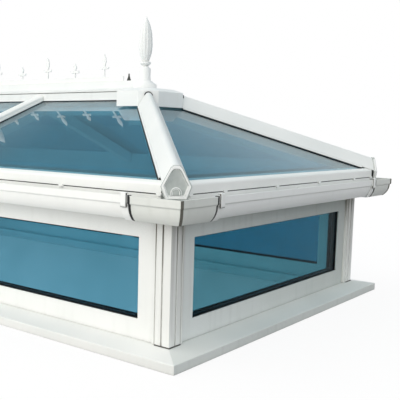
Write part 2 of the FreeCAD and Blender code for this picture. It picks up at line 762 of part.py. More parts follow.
HUB_FACE = f"({HALF_WIDTH} - {HUB_REACH})"
BOSS_FACE = f"({HALF_WIDTH} - boss_apothem / sqrt(2))"
BAR_START = f"({INNER} + bar_flange_half / sqrt(2))"

hip_cap_outline = both_halves([
    ("0", "cap_lift"),
    ("hip_half", f"cap_lift - hip_half * {HIP_SLOPE}"),
    ("hip_half", f"cap_lift - hip_half * {HIP_SLOPE} + hip_edge"),
    ("hip_top_half", "hip_rise"),
], crown=("-hip_crown",))
hip_cap = hip_piece("hip_cap", hip_cap_outline, "hip_start", HUB_FACE)
gather("hip_caps", four(hip_cap))

hip_bar_outline = both_halves([
    ("0", "cap_lift"),
    ("web_half", f"cap_lift - web_half * {HIP_SLOPE}"),
    ("web_half", f"-{SEAT} - web_half * {HIP_SLOPE}"),
    ("bar_flange_half", f"-{SEAT} - bar_flange_half * {HIP_SLOPE}"),
    ("bar_flange_half", f"-{SEAT} - bar_flange_half * {HIP_SLOPE} - bar_flange_depth"),
])
hip_bar = hip_piece("hip_bar", hip_bar_outline, BAR_START, BOSS_FACE)
gather("hip_bars", four(hip_bar))


def make_end_plate(name):
    """The plate that closes a hip cap: a neck, a bevelled rim, a sunk face and an arch on it."""
    def outline(share):
        return both_halves([
            (f"plate_foot_half * {share}", f"-plate_foot * {share}"),
            (f"plate_half * {share}", f"-plate_waist * {share}"),
            (f"plate_shoulder_half * {share}", f"plate_shoulder * {share}"),
            (f"plate_top_half * {share}", f"plate_rise * {share}"),
        ])

    def arch(half, spring, radius):
        foot = "(-plate_foot * plate_share + plate_recess * tan(recess_draft))"
        return [
            (f"-{half}", foot),
            (half, foot),
            (half, f"{foot} + {spring}"),
            (f"-{half}", f"{foot} + {spring}", f"-{radius}"),
        ]

    rim = "(plate_neck + plate_thick)"
    front = f"({rim} + plate_bevel)"
    floor = f"({front} - plate_recess)"
    body = doc.addObject("PartDesign::Body", name)
    pad(body, draw(body, name + "_neck", "XZ_Plane", outline("neck_share")), "plate_neck")
    pad(body, draw(body, name + "_outline", "XZ_Plane", outline("1"), lift="plate_neck"), "plate_thick")
    bevel = pad(body, draw(body, name + "_bevel", "XZ_Plane", outline("1"), lift=rim), "plate_bevel")
    bind(bevel, "TaperAngle", "-plate_draft")
    sunk = pocket(body, draw(body, name + "_face", "XZ_Plane", outline("plate_share"), lift=front),
                  "plate_recess")
    bind(sunk, "TaperAngle", "-recess_draft")
    relief = draw(body, name + "_arch", "XZ_Plane", arch("arch_half", "arch_spring", "arch_radius"),
                  lift=floor)
    pad(body, relief, "arch_proud")
    niche = draw(body, name + "_niche", "XZ_Plane", arch("niche_half", "niche_spring", "niche_radius"),
                 lift=f"{floor} + arch_proud")
    pocket(body, niche, "niche_depth")
    return body


end_plate = make_end_plate("end_plate")
end_plate.Placement.Rotation = FreeCAD.Rotation(FreeCAD.Vector(0, 0, 1), 45)
for axis_name, spot in zip("xyz", on_hip("hip_start")):
    bind(end_plate, f"Placement.Base.{axis_name}", spot)
gather("hip_end_plates", four(end_plate))


# Glazing bars on the long slopes
def bar_piece(name, corners, start, end):
    """A profile run up the middle of the front slope between two distances in from the nose."""
    origin = ("0", f"-{HALF_WIDTH} + ({start})", height(start))
    return slope_run(name, corners, 0, origin, f"{end} - ({start})", SLOPE)


FLASHING_EDGE = f"({HALF_WIDTH} - flashing_half)"
bar_cap_outline = both_halves([
    ("bar_half", "cap_lift"),
    ("bar_half", "cap_lift + bar_rise - bar_chamfer"),
    ("bar_half - bar_chamfer", "cap_lift + bar_rise"),
])
bar_cap = bar_piece("bar_cap", bar_cap_outline, "trim_front", f"({HALF_WIDTH} - ridge_foot_half)")
bar_caps = gather("bar_caps", [bar_cap, along_y(bar_cap, "bar_cap_y")])

rafter_outline = both_halves([
    ("web_half", "cap_lift"),
    ("web_half", f"-{SEAT}"),
    ("rafter_half", f"-{SEAT}"),
    ("rafter_half", f"-{SEAT} - bar_flange_depth"),
])
rafter = bar_piece("rafter", rafter_outline, INNER, f"({HALF_WIDTH} - bar_flange_half)")
gather("glazing_bars", [rafter, along_y(rafter, "rafter_y")])


# Ridge
def ridge_piece(name, corners, half, level):
    """A level profile along the ridge, centred on the lantern."""
    body = doc.addObject("PartDesign::Body", name)
    pad(body, draw(body, name + "_profile", "YZ_Plane", corners), f"2 * ({half})", True)
    bind(body, "Placement.Base.z", level)
    return body


ridge_beam_outline = both_halves([
    ("0", "cap_lift"),
    ("web_half", f"cap_lift - web_half * {SLOPE}"),
    ("web_half", f"-{SEAT} - web_half * {SLOPE}"),
    ("bar_flange_half", f"-{SEAT} - bar_flange_half * {SLOPE}"),
    ("bar_flange_half", f"-{SEAT} - bar_flange_half * {SLOPE} - bar_flange_depth"),
])
ridge_beam = ridge_piece("ridge_beam", ridge_beam_outline, f"{RIDGE_END} - boss_apothem", RIDGE_LINE)
node(ridge_beam, "ridge_beam")

flashing_outline = both_halves([
    ("0", "cap_lift"),
    ("flashing_half", f"cap_lift - flashing_half * {SLOPE}"),
    ("flashing_half - flashing_lean", f"cap_lift - flashing_half * {SLOPE} + flashing_rise"),
])
flashing = ridge_piece("flashing", flashing_outline, f"{RIDGE_END} - hub_back", RIDGE_LINE)
node(cut("ridge_flashing", flashing, bar_caps), "ridge_flashing")


# Gaskets under the edges of the caps, and under the glass at the eaves
def strip_outline(edge, slope):
    """The section of a gasket strip between the glass and the edge of a cap."""
    near = f"({edge} - gasket_inset)"
    far = f"({edge} + gasket_proud)"
    return [
        (near, f"-{near} * {slope}"),
        (far, f"-{far} * {slope}"),
        (far, f"cap_lift - {far} * {slope}"),
        (near, f"cap_lift - {near} * {slope}"),
    ]


hip_strip = hip_piece("hip_strip", strip_outline("hip_half", HIP_SLOPE),
                      f"({TRIM_BACK} + hip_half)", HUB_FACE)
hip_twin = mirrored(hip_strip, "hip_twin", (1, 1, 0), (HALF_LENGTH, f"-{HALF_WIDTH}", "0"))
bar_strip = bar_piece("bar_strip", strip_outline("bar_half", "0"), TRIM_BACK,
                      f"({FLASHING_EDGE} - gasket_proud)")
ridge_strip = doc.addObject("PartDesign::Body", "ridge_strip")
pad(ridge_strip, draw(ridge_strip, "ridge_strip_profile", "YZ_Plane", strip_outline("flashing_half", SLOPE)),
    f"{RIDGE_END} - hub_back - web_half")
bind(ridge_strip, "Placement.Base.x", "web_half")
bind(ridge_strip, "Placement.Base.z", RIDGE_LINE)
roof_strips = four(hip_strip) + four(hip_twin) + four(bar_strip) + four(ridge_strip)


def make_seat_strip(name, half):
    """A strip on the beam that the inner pane rests on."""
    near = f"({FACE} + strip_inset)"
    far = f"({near} + strip_width)"
    corners = [
        (near, f"{height(near)} - {SEAT}"),
        (near, f"{height(near)} - {UNIT}"),
        (far, f"{height(far)} - {UNIT}"),
        (far, f"{height(far)} - {SEAT}"),
    ]
    return run(name, corners, f"{half} - {INNER} - strip_stop")


def make_drip_seal(name, half):
    """A strip that hangs under the trim, over the gutter."""
    near = "(trim_front + drip_seal_inset)"
    far = f"({near} + drip_seal_width)"
    corners = [
        (near, f"{TRIM_BOTTOM} - drip_seal_drop"),
        (near, TRIM_BOTTOM),
        (far, TRIM_BOTTOM),
        (far, f"{TRIM_BOTTOM} - drip_seal_drop"),
    ]
    return run(name, corners, f"{half} - {TRIM_BACK} - hip_half")


for maker, strip_name in ((make_seat_strip, "seat"), (make_drip_seal, "drip_seal")):
    front_strip = on_front(maker(f"front_{strip_name}", HALF_LENGTH))
    right_strip = on_right(maker(f"right_{strip_name}", HALF_WIDTH))
    roof_strips += [front_strip, along_y(front_strip, f"back_{strip_name}"),
                    right_strip, along_x(right_strip, f"left_{strip_name}")]
gather("roof_gaskets", roof_strips)
gather("side_gaskets", side_pieces("gasket"))


# Hubs at the ends of the ridge
def make_hub(name):
    """The cover at the right end of the ridge, scribed to the roof below it."""
    side = "(hub_half - hub_chamfer)"
    plan = [
        ("-hub_back", "-hub_half"),
        (side, "-hub_half"),
        ("hub_half", f"-{side}"),
        ("hub_half", side),
        (side, "hub_half"),
        ("-hub_back", "hub_half"),
    ]
    foot = height(f"{HALF_WIDTH} - hub_half - cap_lift")
    body = doc.addObject("PartDesign::Body", name + "_body")
    pad(body, draw(body, name + "_plan", "XY_Plane", plan), f"{HUB_TOP} - {foot}")
    bind(body, "Placement.Base.x", RIDGE_END)
    bind(body, "Placement.Base.z", foot)
    crown = doc.addObject("PartDesign::Body", name + "_crown")
    feature = pad(crown, draw(crown, name + "_crown_plan", "XY_Plane", plan), "hub_crown")
    bind(feature, "TaperAngle", "-hub_taper")
    bind(crown, "Placement.Base.x", RIDGE_END)
    bind(crown, "Placement.Base.z", HUB_TOP)
    return cut(name, fused(name + "_whole", [body, crown]), roof_wedge(name + "_scribe", "cap_lift"))


hub = make_hub("hub")
hub_covers = gather("hub_covers", [hub, along_x(hub, "hub_x")])


def make_boss(name):
    """The eight-sided boss under the roof that the hip bars and the ridge beam run into."""
    half_side = f"(boss_apothem * {OCTAGON})"
    ring_of_corners = [
        ("boss_apothem", f"-{half_side}"), ("boss_apothem", half_side),
        (half_side, "boss_apothem"), (f"-{half_side}", "boss_apothem"),
        ("-boss_apothem", half_side), ("-boss_apothem", f"-{half_side}"),
        (f"-{half_side}", "-boss_apothem"), (half_side, "-boss_apothem"),
    ]
    body = doc.addObject("PartDesign::Body", name)
    pad(body, draw(body, name + "_plan", "XY_Plane", ring_of_corners), "boss_drop")
    top = f"({height(f'{HALF_WIDTH} - boss_apothem')} - {SEAT})"
    bind(body, "Placement.Base.x", RIDGE_END)
    bind(body, "Placement.Base.z", f"{top} - boss_drop")
    return body


boss = make_boss("boss")
gather("hub_bosses", [boss, along_x(boss, "boss_x")])


# Finials
def make_finial(name):
    """A turned finial: base, shaft, neck, ring and bud."""
    steps = ["base_rise", "base_bevel", "shaft_rise", "neck_rise", "ring_rise",
             "bud_low_rise", "bud_high_rise"]
    levels_up = [" + ".join(steps[:count + 1]) for count in range(len(steps))]
    base_z, bevel_z, shaft_z, neck_z, ring_z, belly_z, tip_z = levels_up
    corners = [
        ("0", "0"),
        ("base_radius", "0"),
        ("base_radius", base_z),
        ("shaft_radius", bevel_z),
        ("shaft_radius", shaft_z),
        ("neck_radius", f"{shaft_z} + neck_rise / 2"),
        ("ring_radius", neck_z),
        ("ring_radius", ring_z),
        ("bud_foot", ring_z),
        ("bud_radius", belly_z, "-bud_low_curve"),
        ("bud_tip", tip_z, "-bud_high_curve"),
        ("0", tip_z),
    ]
    body = doc.addObject("PartDesign::Body", name)
    sketch = draw(body, name + "_profile", "XZ_Plane", corners)
    feature = body.newObject("PartDesign::Revolution", name + "_turned")
    feature.Profile = sketch
    feature.ReferenceAxis = (sketch, ["V_Axis"])
    feature.Angle = 360
    bind(body, "Placement.Base.x", RIDGE_END)
    bind(body, "Placement.Base.z", FINIAL_FOOT)
    return body


finial = make_finial("finial")
finials = gather("finials", [finial, along_x(finial, "finial_x")])

# Ridge cap, fitted to the hubs and the feet of the finials
ridge_cap_outline = both_halves([
    ("ridge_foot_half", "0"),
    ("ridge_foot_half", "ridge_foot"),
    ("ridge_half", "ridge_foot"),
    ("ridge_half", "ridge_foot + ridge_lip"),
    ("ridge_neck_half", "ridge_foot + ridge_neck", "ridge_cove"),
    ("ridge_rail_half", "ridge_rise"),
])
ridge_run = ridge_piece("ridge_run", ridge_cap_outline, f"{RIDGE_END} - shaft_radius", FLASHING_TOP)
fitted_run = cut("fitted_run", ridge_run, hub_covers)
node(cut("ridge_cap", fitted_run, finials), "ridge_cap")


# Cresting along the ridge
def make_motif(name, place, rise):
    """One upright of the cresting: a stem, a pair of arms and a spear head."""
    arm = f"(arm_height * {rise} / tall_motif)"
    shoulder = f"(spear_height * {rise} / tall_motif + arm_thick)"
    corners = both_halves([
        ("stem_half", "0"),
        ("stem_half", arm),
        ("arm_half", arm, "-arm_curve"),
        ("arm_half", f"{arm} + arm_thick"),
        ("stem_half", f"{arm} + arm_thick", "arm_curve"),
        ("spear_half", shoulder, "-spear_curve"),
        ("0", rise, "-spear_curve"),
    ])
    body = doc.addObject("PartDesign::Body", name)
    pad(body, draw(body, name + "_outline", "XZ_Plane", corners), "crest_thick", True)
    bind(body, "Placement.Base.x", place)
    bind(body, "Placement.Base.z", f"{CREST_FOOT} + crest_rail")
    return body


crest_rail = box("crest_rail_bar", (f"-({RIDGE_END} - crest_stop)", "-crest_thick / 2", CREST_FOOT),
                 (f"{RIDGE_END} - crest_stop", "crest_thick / 2", f"{CREST_FOOT} + crest_rail"))
motifs = [make_motif(f"motif_{index + 2}", f"{index} * {CREST_STEP}",
                     "short_motif" if index % 2 else "tall_motif") for index in range(-2, 3)]
node(fused("cresting", [crest_rail] + motifs), "cresting")

# Build, check and write every sub-part
doc.recompute()
failed = [item.Label for item in doc.Objects if "Invalid" in item.State or "Error" in item.State]
if failed:
    raise RuntimeError("failed to build: " + ", ".join(failed))
for item in nodes:
    if item.Shape.isNull() or not item.Shape.isValid() or not item.Shape.Solids:
        raise RuntimeError("bad shape: " + item.Label)
os.makedirs("parts", exist_ok=True)
for item in nodes:
    item.Shape.exportStep(os.path.join("parts", item.Label + ".step"))
solids = sum(len(item.Shape.Solids) for item in nodes)
volume = sum(item.Shape.Volume for item in nodes)
print(f"{len(nodes)} sub-parts, {solids} solids, {volume / 1e9:.4f} cubic metres")
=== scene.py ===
# %% [markdown]
# # A white roof lantern with blue glass
#
# A roof lantern is a small glazed house that stands over a hole in a flat roof. This one has a
# white plastic sill, four glazed sides, a gutter and a hipped roof of tinted glass.
# The solid model arrives finished and in place. It could be modelled again here, but then two models
# would have to agree, so the solids are kept as they are. This lesson lights them, gives each a
# material that looks like the real one, and adds the small things a factory fits last.

# %% Load the solid model
import json
import math

import bmesh
import bpy
from mathutils import Matrix, Vector


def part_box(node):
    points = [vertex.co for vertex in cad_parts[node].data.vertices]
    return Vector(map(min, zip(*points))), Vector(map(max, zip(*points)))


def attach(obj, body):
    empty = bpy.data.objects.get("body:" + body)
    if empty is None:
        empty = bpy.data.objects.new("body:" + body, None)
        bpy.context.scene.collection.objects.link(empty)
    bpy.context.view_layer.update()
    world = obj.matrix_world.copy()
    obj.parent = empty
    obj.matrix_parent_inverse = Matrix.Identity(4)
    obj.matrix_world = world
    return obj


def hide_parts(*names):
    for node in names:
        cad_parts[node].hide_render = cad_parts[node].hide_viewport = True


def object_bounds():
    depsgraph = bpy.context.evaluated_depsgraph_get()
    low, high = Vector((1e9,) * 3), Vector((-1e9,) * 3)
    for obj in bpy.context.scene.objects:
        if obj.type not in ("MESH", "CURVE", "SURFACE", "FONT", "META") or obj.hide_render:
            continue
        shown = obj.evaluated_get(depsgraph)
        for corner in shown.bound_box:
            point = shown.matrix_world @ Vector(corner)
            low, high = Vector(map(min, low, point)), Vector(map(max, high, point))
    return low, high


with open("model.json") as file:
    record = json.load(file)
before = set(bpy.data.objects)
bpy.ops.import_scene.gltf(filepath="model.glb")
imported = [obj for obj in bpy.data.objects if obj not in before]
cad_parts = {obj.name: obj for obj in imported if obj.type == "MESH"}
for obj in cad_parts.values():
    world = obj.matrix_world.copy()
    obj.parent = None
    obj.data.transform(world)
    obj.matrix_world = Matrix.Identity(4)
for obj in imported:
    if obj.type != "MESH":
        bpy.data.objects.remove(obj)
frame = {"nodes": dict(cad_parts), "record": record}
nodes = frame["nodes"]
cad_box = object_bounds()
MM = 0.001


def rounded(values, digits=3):
    """Numbers cut short for printing."""
    return [round(value, digits) for value in values]


print(len(nodes), "solid parts, box", [rounded(corner) for corner in cad_box])

# %% [markdown]
# ## Camera
#
# The photograph was taken from the front right, a little above the glass. A camera could be aimed at
# a target, but a target gives no roll. So its three axes are worked out from yaw, pitch and roll,
# which came from the straight edges of the sill, gutter and posts. The picture's middle isn't on the
# lens axis, as in a cropped picture, so the camera has a small shift.

# %% Axes of the camera
YAW = math.radians(38.48)
PITCH = math.radians(6.37)
ROLL = math.radians(-1.26)
forward = Vector((-math.sin(YAW) * math.cos(PITCH), math.cos(YAW) * math.cos(PITCH), -math.sin(PITCH)))
level_right = Vector((math.cos(YAW), math.sin(YAW), 0))
level_down = forward.cross(level_right)
right = math.cos(ROLL) * level_right + math.sin(ROLL) * level_down
down = -math.sin(ROLL) * level_right + math.cos(ROLL) * level_down
print("camera looks along", rounded(forward))

# %% Place the camera
CAMERA_PLACE = Vector((2.4794, -2.2598, 0.6858))
SENSOR_WIDTH = 36
FOCAL_LENGTH = 61.96
SHIFT_RIGHT = 0.1056
SHIFT_UP = 0.0227
camera_data = bpy.data.cameras.new("photo_camera")
camera_data.sensor_width = SENSOR_WIDTH
camera_data.lens = FOCAL_LENGTH
camera_data.shift_x = SHIFT_RIGHT
camera_data.shift_y = SHIFT_UP
camera = bpy.data.objects.new("photo_camera", camera_data)
turn = Matrix((right, -down, -forward)).transposed().to_4x4()
camera.matrix_world = Matrix.Translation(CAMERA_PLACE) @ turn
bpy.context.collection.objects.link(camera)
bpy.context.scene.camera = camera
print("camera at", rounded(CAMERA_PLACE), "with a lens of", FOCAL_LENGTH, "mm")

# %% [markdown]
# ## Colour and nodes
#
# Colours are written as hex values, as a paint chart gives them. Blender mixes light in linear
# numbers, so one function turns the first into the second. Nodes could be wired by hand in the
# editor, but a script can be read and run again. One function adds a node, sets its options and
# fills or links its inputs. Two more start a material, and lay a colour over a finished one, which
# is dirt in some places and painted shade in others.

# %% Colours
def hex_colour(text):
    """An sRGB hex colour as linear red, green, blue and alpha."""
    channels = [int(text[place:place + 2], 16) / 255 for place in (1, 3, 5)]
    linear = [part / 12.92 if part <= 0.04045 else ((part + 0.055) / 1.055) ** 2.4 for part in channels]
    return (*linear, 1.0)


print("white chart value", rounded(hex_colour("#F3F4F2")[:3]))

# %% Nodes and materials
# A mix node has sockets for numbers, vectors and colours: these are the places of those for colours
MIX_SHARE = 0
MIX_FIRST = 6
MIX_SECOND = 7
MIX_RESULT = 2


def add_node(tree, kind, inputs=None, **options):
    """Add a node, set its options, and fill or link its inputs."""
    made = tree.nodes.new(kind)
    for option, choice in options.items():
        setattr(made, option, choice)
    for name, given in (inputs or {}).items():
        if isinstance(given, bpy.types.NodeSocket):
            tree.links.new(given, made.inputs[name])
        else:
            made.inputs[name].default_value = given
    return made


def new_material(name):
    """A material without nodes, and its tree."""
    material = bpy.data.materials.new(name)
    material.use_nodes = True
    material.node_tree.nodes.clear()
    return material, material.node_tree


def lay_colour(material, share, colour):
    """Lay a hex colour over a finished material. The share is a socket that gives 0 to 1."""
    tree = material.node_tree
    shell = next(made for made in tree.nodes if made.type == "BSDF_PRINCIPLED")
    bare = shell.inputs["Base Color"].links[0].from_socket
    overlaid = add_node(tree, "ShaderNodeMix", {
        MIX_SHARE: share, MIX_FIRST: bare, MIX_SECOND: hex_colour(colour)}, data_type="RGBA")
    tree.links.new(overlaid.outputs[MIX_RESULT], shell.inputs["Base Color"])
    print(material.name, "has a film of", colour)


print("helpers:", add_node.__name__, new_material.__name__, lay_colour.__name__)

# %% [markdown]
# ## Studio
#
# The picture behind the lantern is plain white, and the light is soft and comes from the left. Wide
# lamps could give such light, but they would show in the glass as bright boxes, so the world itself
# is the lamp. Rays that the eye follows see white towards the horizon and the blue grey of an overcast
# sky overhead, so the sloping glass mirrors the white cresting clearly. Rays that only carry light
# meet a wide, soft glow from the front left that fades to the other side and overhead.

# %% Helpers for the studio
scene = bpy.context.scene
scene.view_settings.view_transform = "Standard"


def heading(turn, height):
    """A unit vector at an angle round from the front, and an angle above the floor, in degrees."""
    turn = math.radians(turn)
    height = math.radians(height)
    return Vector((math.sin(turn) * math.cos(height), -math.cos(turn) * math.cos(height), math.sin(height)))


def seen_by_eye(tree):
    """A socket that gives 1 for rays the eye follows, straight, mirrored or through glass, and else 0."""
    ray = add_node(tree, "ShaderNodeLightPath")
    seen = add_node(tree, "ShaderNodeMath", {
        0: ray.outputs["Is Camera Ray"], 1: ray.outputs["Is Glossy Ray"]}, operation="ADD")
    seen = add_node(tree, "ShaderNodeMath", {
        0: seen.outputs[0], 1: ray.outputs["Is Transmission Ray"]}, operation="ADD", use_clamp=True)
    return seen.outputs[0]


print("view transform:", scene.view_settings.view_transform)

# %% What the eye sees
# The heights are those of a unit vector: 0 at the horizon, 1 straight up
SKY_FROM = 0.22
SKY_FULL = 0.48
world = bpy.data.worlds.new("studio_world")
world.use_nodes = True
sky = world.node_tree
sky.nodes.clear()
direction = add_node(sky, "ShaderNodeTexCoord").outputs["Generated"]
upward = add_node(sky, "ShaderNodeSeparateXYZ", {0: direction})
overhead = add_node(sky, "ShaderNodeMapRange", {
    "Value": upward.outputs["Z"], "From Min": SKY_FROM, "From Max": SKY_FULL})
backdrop = add_node(sky, "ShaderNodeMix", {
    MIX_SHARE: overhead.outputs[0], MIX_FIRST: hex_colour("#FFFFFF"), MIX_SECOND: hex_colour("#7CA0AD")},
    data_type="RGBA")
view = add_node(sky, "ShaderNodeBackground", {"Color": backdrop.outputs[MIX_RESULT]})
print("white up to", SKY_FROM, "and sky from", SKY_FULL)

# %% What lights the lantern
BRIGHT_SIDE = 1.98
DIM_SIDE = 0.41
ZENITH_SHARE = 0.76
towards_glow = heading(turn=-10, height=4)
side = add_node(sky, "ShaderNodeVectorMath", {0: direction, 1: towards_glow}, operation="DOT_PRODUCT")
lean = add_node(sky, "ShaderNodeMapRange", {
    "Value": side.outputs["Value"], "From Min": -1.0, "From Max": 1.0})
fill = add_node(sky, "ShaderNodeMapRange", {
    "Value": lean.outputs[0], "To Min": DIM_SIDE, "To Max": BRIGHT_SIDE})
hue = add_node(sky, "ShaderNodeMix", {
    MIX_SHARE: lean.outputs[0], MIX_FIRST: hex_colour("#E6F3FF"), MIX_SECOND: hex_colour("#FFFBF4")},
    data_type="RGBA")
fade = add_node(sky, "ShaderNodeMapRange", {
    "Value": upward.outputs["Z"], "To Min": 1.0, "To Max": ZENITH_SHARE})
power = add_node(sky, "ShaderNodeMath", {0: fill.outputs[0], 1: fade.outputs[0]}, operation="MULTIPLY")
glow = add_node(sky, "ShaderNodeBackground", {
    "Color": hue.outputs[MIX_RESULT], "Strength": power.outputs[0]})
either = add_node(sky, "ShaderNodeMixShader", {0: seen_by_eye(sky), 1: glow.outputs[0], 2: view.outputs[0]})
add_node(sky, "ShaderNodeOutputWorld", {"Surface": either.outputs[0]})
scene.world = world
print("world: bright side", BRIGHT_SIDE, "towards", rounded(towards_glow, 2))

# %% [markdown]
# The lantern stands on white studio paper. A plain white sheet would turn grey wherever little light
# falls, but the ground is to stay white. So the paper glows for the rays that the eye follows, and a
# share of it stays matt to take a soft shadow. Rays that only carry light meet matt paper that throws
# them back at the front left, and little at the right. Under the lantern the paper only glows, as the
# lit room below would, and more so at the front.

# %% Floor sheet
FLOOR_HALF = 30.0
FLOOR_DROP = 0.5 * MM
floor_mesh = bpy.data.meshes.new("studio_floor")
floor_corners = [(-FLOOR_HALF, -FLOOR_HALF, 0), (FLOOR_HALF, -FLOOR_HALF, 0),
                 (FLOOR_HALF, FLOOR_HALF, 0), (-FLOOR_HALF, FLOOR_HALF, 0)]
floor_mesh.from_pydata(floor_corners, [], [(0, 1, 2, 3)])
floor = bpy.data.objects.new("studio_floor", floor_mesh)
floor.location.z = -FLOOR_DROP
bpy.context.collection.objects.link(floor)
print("floor", 2 * FLOOR_HALF, "m across")

# %% Paper under and beside the lantern
UNDER_SILL = 150 * MM
paper, sheet = new_material("white_studio_paper")
floor_mesh.materials.append(paper)
spot = add_node(sheet, "ShaderNodeTexCoord").outputs["Object"]
along = add_node(sheet, "ShaderNodeSeparateXYZ", {0: spot})
beyond = {}
for axis, half in (("X", cad_box[1][0]), ("Y", cad_box[1][1])):
    reach = add_node(sheet, "ShaderNodeMath", {0: along.outputs[axis]}, operation="ABSOLUTE")
    beyond[axis] = add_node(sheet, "ShaderNodeMath", {
        0: reach.outputs[0], 1: half - UNDER_SILL}, operation="GREATER_THAN")
outside = add_node(sheet, "ShaderNodeMath", {
    0: beyond["X"].outputs[0], 1: beyond["Y"].outputs[0]}, operation="MAXIMUM")
inside = add_node(sheet, "ShaderNodeMath", {0: 1.0, 1: outside.outputs[0]}, operation="SUBTRACT")
print(paper.name, "glows from", round(UNDER_SILL / MM), "mm inside the gutter's edge")

# %% Glow of the paper
SHADOW_SHARE = 0.30
FLOOR_GLOW = 1.26
INSIDE_FRONT = 0.92
INSIDE_BACK = 0.66
seen = seen_by_eye(sheet)
share = add_node(sheet, "ShaderNodeMath", {0: seen, 1: 1 - SHADOW_SHARE}, operation="MULTIPLY")
share = add_node(sheet, "ShaderNodeMath", {0: share.outputs[0], 1: inside.outputs[0]}, operation="MAXIMUM")
inner = add_node(sheet, "ShaderNodeMapRange", {
    "Value": along.outputs["Y"], "From Min": cad_box[0][1], "From Max": cad_box[1][1],
    "To Min": INSIDE_FRONT, "To Max": INSIDE_BACK})
level = add_node(sheet, "ShaderNodeMapRange", {
    "Value": outside.outputs[0], "To Min": inner.outputs[0], "To Max": FLOOR_GLOW})
bright = add_node(sheet, "ShaderNodeEmission", {
    "Color": hex_colour("#FFFFFF"), "Strength": level.outputs[0]})
print("glow", FLOOR_GLOW, "beside the lantern,", INSIDE_FRONT, "to", INSIDE_BACK, "under it")

# %% Matt side of the paper
# The two distances lie along the line to the bright paper, in metres
BOUNCE_FROM = -0.6
BOUNCE_TO = 1.2
WHITE_PAPER = 0.95
DARK_PAPER = 0.06
SEEN_PAPER = 0.40
towards_paper = heading(turn=-35, height=0)
bounce = add_node(sheet, "ShaderNodeVectorMath", {0: spot, 1: towards_paper}, operation="DOT_PRODUCT")
tone = add_node(sheet, "ShaderNodeMapRange", {
    "Value": bounce.outputs["Value"], "From Min": BOUNCE_FROM, "From Max": BOUNCE_TO,
    "To Min": DARK_PAPER, "To Max": WHITE_PAPER})
tone = add_node(sheet, "ShaderNodeMapRange", {
    "Value": seen, "To Min": tone.outputs[0], "To Max": SEEN_PAPER})
matt = add_node(sheet, "ShaderNodeBsdfDiffuse", {"Color": tone.outputs[0]})
both = add_node(sheet, "ShaderNodeMixShader", {0: share.outputs[0], 1: matt.outputs[0], 2: bright.outputs[0]})
add_node(sheet, "ShaderNodeOutputMaterial", {"Surface": both.outputs[0]})
print("matt paper from", DARK_PAPER, "to", WHITE_PAPER)

# %% [markdown]
# A glow from everywhere leaves edges a little flat. One weak sun from the upper left gives them a
# direction. A narrow sun would draw hard shadows, so this one is as wide as a window.

# %% Lamp
KEY_POWER = 0.2
KEY_WIDE = math.radians(30)
towards_key = heading(turn=-62, height=50)
key_data = bpy.data.lights.new("key_light", "SUN")
key_data.energy = KEY_POWER
key_data.angle = KEY_WIDE
key_data.color = hex_colour("#FFFEFB")[:3]
key = bpy.data.objects.new("key_light", key_data)
key.rotation_euler = towards_key.to_track_quat("Z", "Y").to_euler()
bpy.context.collection.objects.link(key)
print("one soft lamp on the bright side,", KEY_POWER, "W per square metre")

# %% [markdown]
# ## White uPVC
#
# The frames, sill, gutter and caps are unplasticised PVC, pushed hot through a die. It is a warm
# white, half glossy, slightly wavy over a hand's width, and it holds a film of grey dirt in its
# corners and faint rain streaks on its upright faces. The same grey is also painted shade in its
# corners and close under the gutter. The dirt and shade could be painted on by hand, but then each
# part would need its own picture. Here three rules place them: how upright a face is, how closed in
# a point is, and how near it is to the gutter.

# %% [markdown]
# Rain draws dirt down in streaks. A noise that is stretched upright gives their pattern, and they fade
# out on faces that slope, where the water spreads.

# %% Rain streaks
STREAK_WIDE = 30 * MM
STREAK_TALL = 420 * MM
STREAK_THIN = 0.52
STREAK_FULL = 0.80
# The upward part of a face's normal: 0 for an upright face, 1 for a level one
UPRIGHT_UNDER = 0.15
SLOPING_OVER = 0.60


def rain_streaks(tree, place, washed):
    """The share of dirt that rain has drawn down the upright faces."""
    stretch = add_node(tree, "ShaderNodeMapping", {
        "Vector": place, "Scale": (1 / STREAK_WIDE, 1 / STREAK_WIDE, 1 / STREAK_TALL)})
    streak = add_node(tree, "ShaderNodeTexNoise", {"Vector": stretch.outputs[0], "Scale": 1.0, "Detail": 2.0})
    stain = add_node(tree, "ShaderNodeMapRange", {
        "Value": streak.outputs["Fac"], "From Min": STREAK_THIN, "From Max": STREAK_FULL,
        "To Min": 0.0, "To Max": washed})
    normal = add_node(tree, "ShaderNodeNewGeometry").outputs["Normal"]
    facing = add_node(tree, "ShaderNodeSeparateXYZ", {0: normal})
    tilt = add_node(tree, "ShaderNodeMath", {0: facing.outputs["Z"]}, operation="ABSOLUTE")
    upright = add_node(tree, "ShaderNodeMapRange", {
        "Value": tilt.outputs[0], "From Min": UPRIGHT_UNDER, "From Max": SLOPING_OVER,
        "To Min": 1.0, "To Max": 0.0})
    run = add_node(tree, "ShaderNodeMath", {0: stain.outputs[0], 1: upright.outputs[0]}, operation="MULTIPLY")
    return run.outputs[0]


print("streaks", round(STREAK_WIDE / MM), "mm wide")

# %% [markdown]
# Grooves and inner corners hold speckled dirt, and the same grey darkens them as painted shade. An
# ambient occlusion node tells how open a point is to its surroundings: 1 in the open, 0 when closed in.

# %% Corner dirt
CORNER_REACH = 22 * MM
CORNER_OPEN = 0.70
CORNER_CLOSED = 0.20
SPECK = 14 * MM
THIN_SPECK = 0.6
OPENNESS_SAMPLES = 6
# Most values of a noise texture lie between these two
NOISE_LOW = 0.3
NOISE_HIGH = 0.7


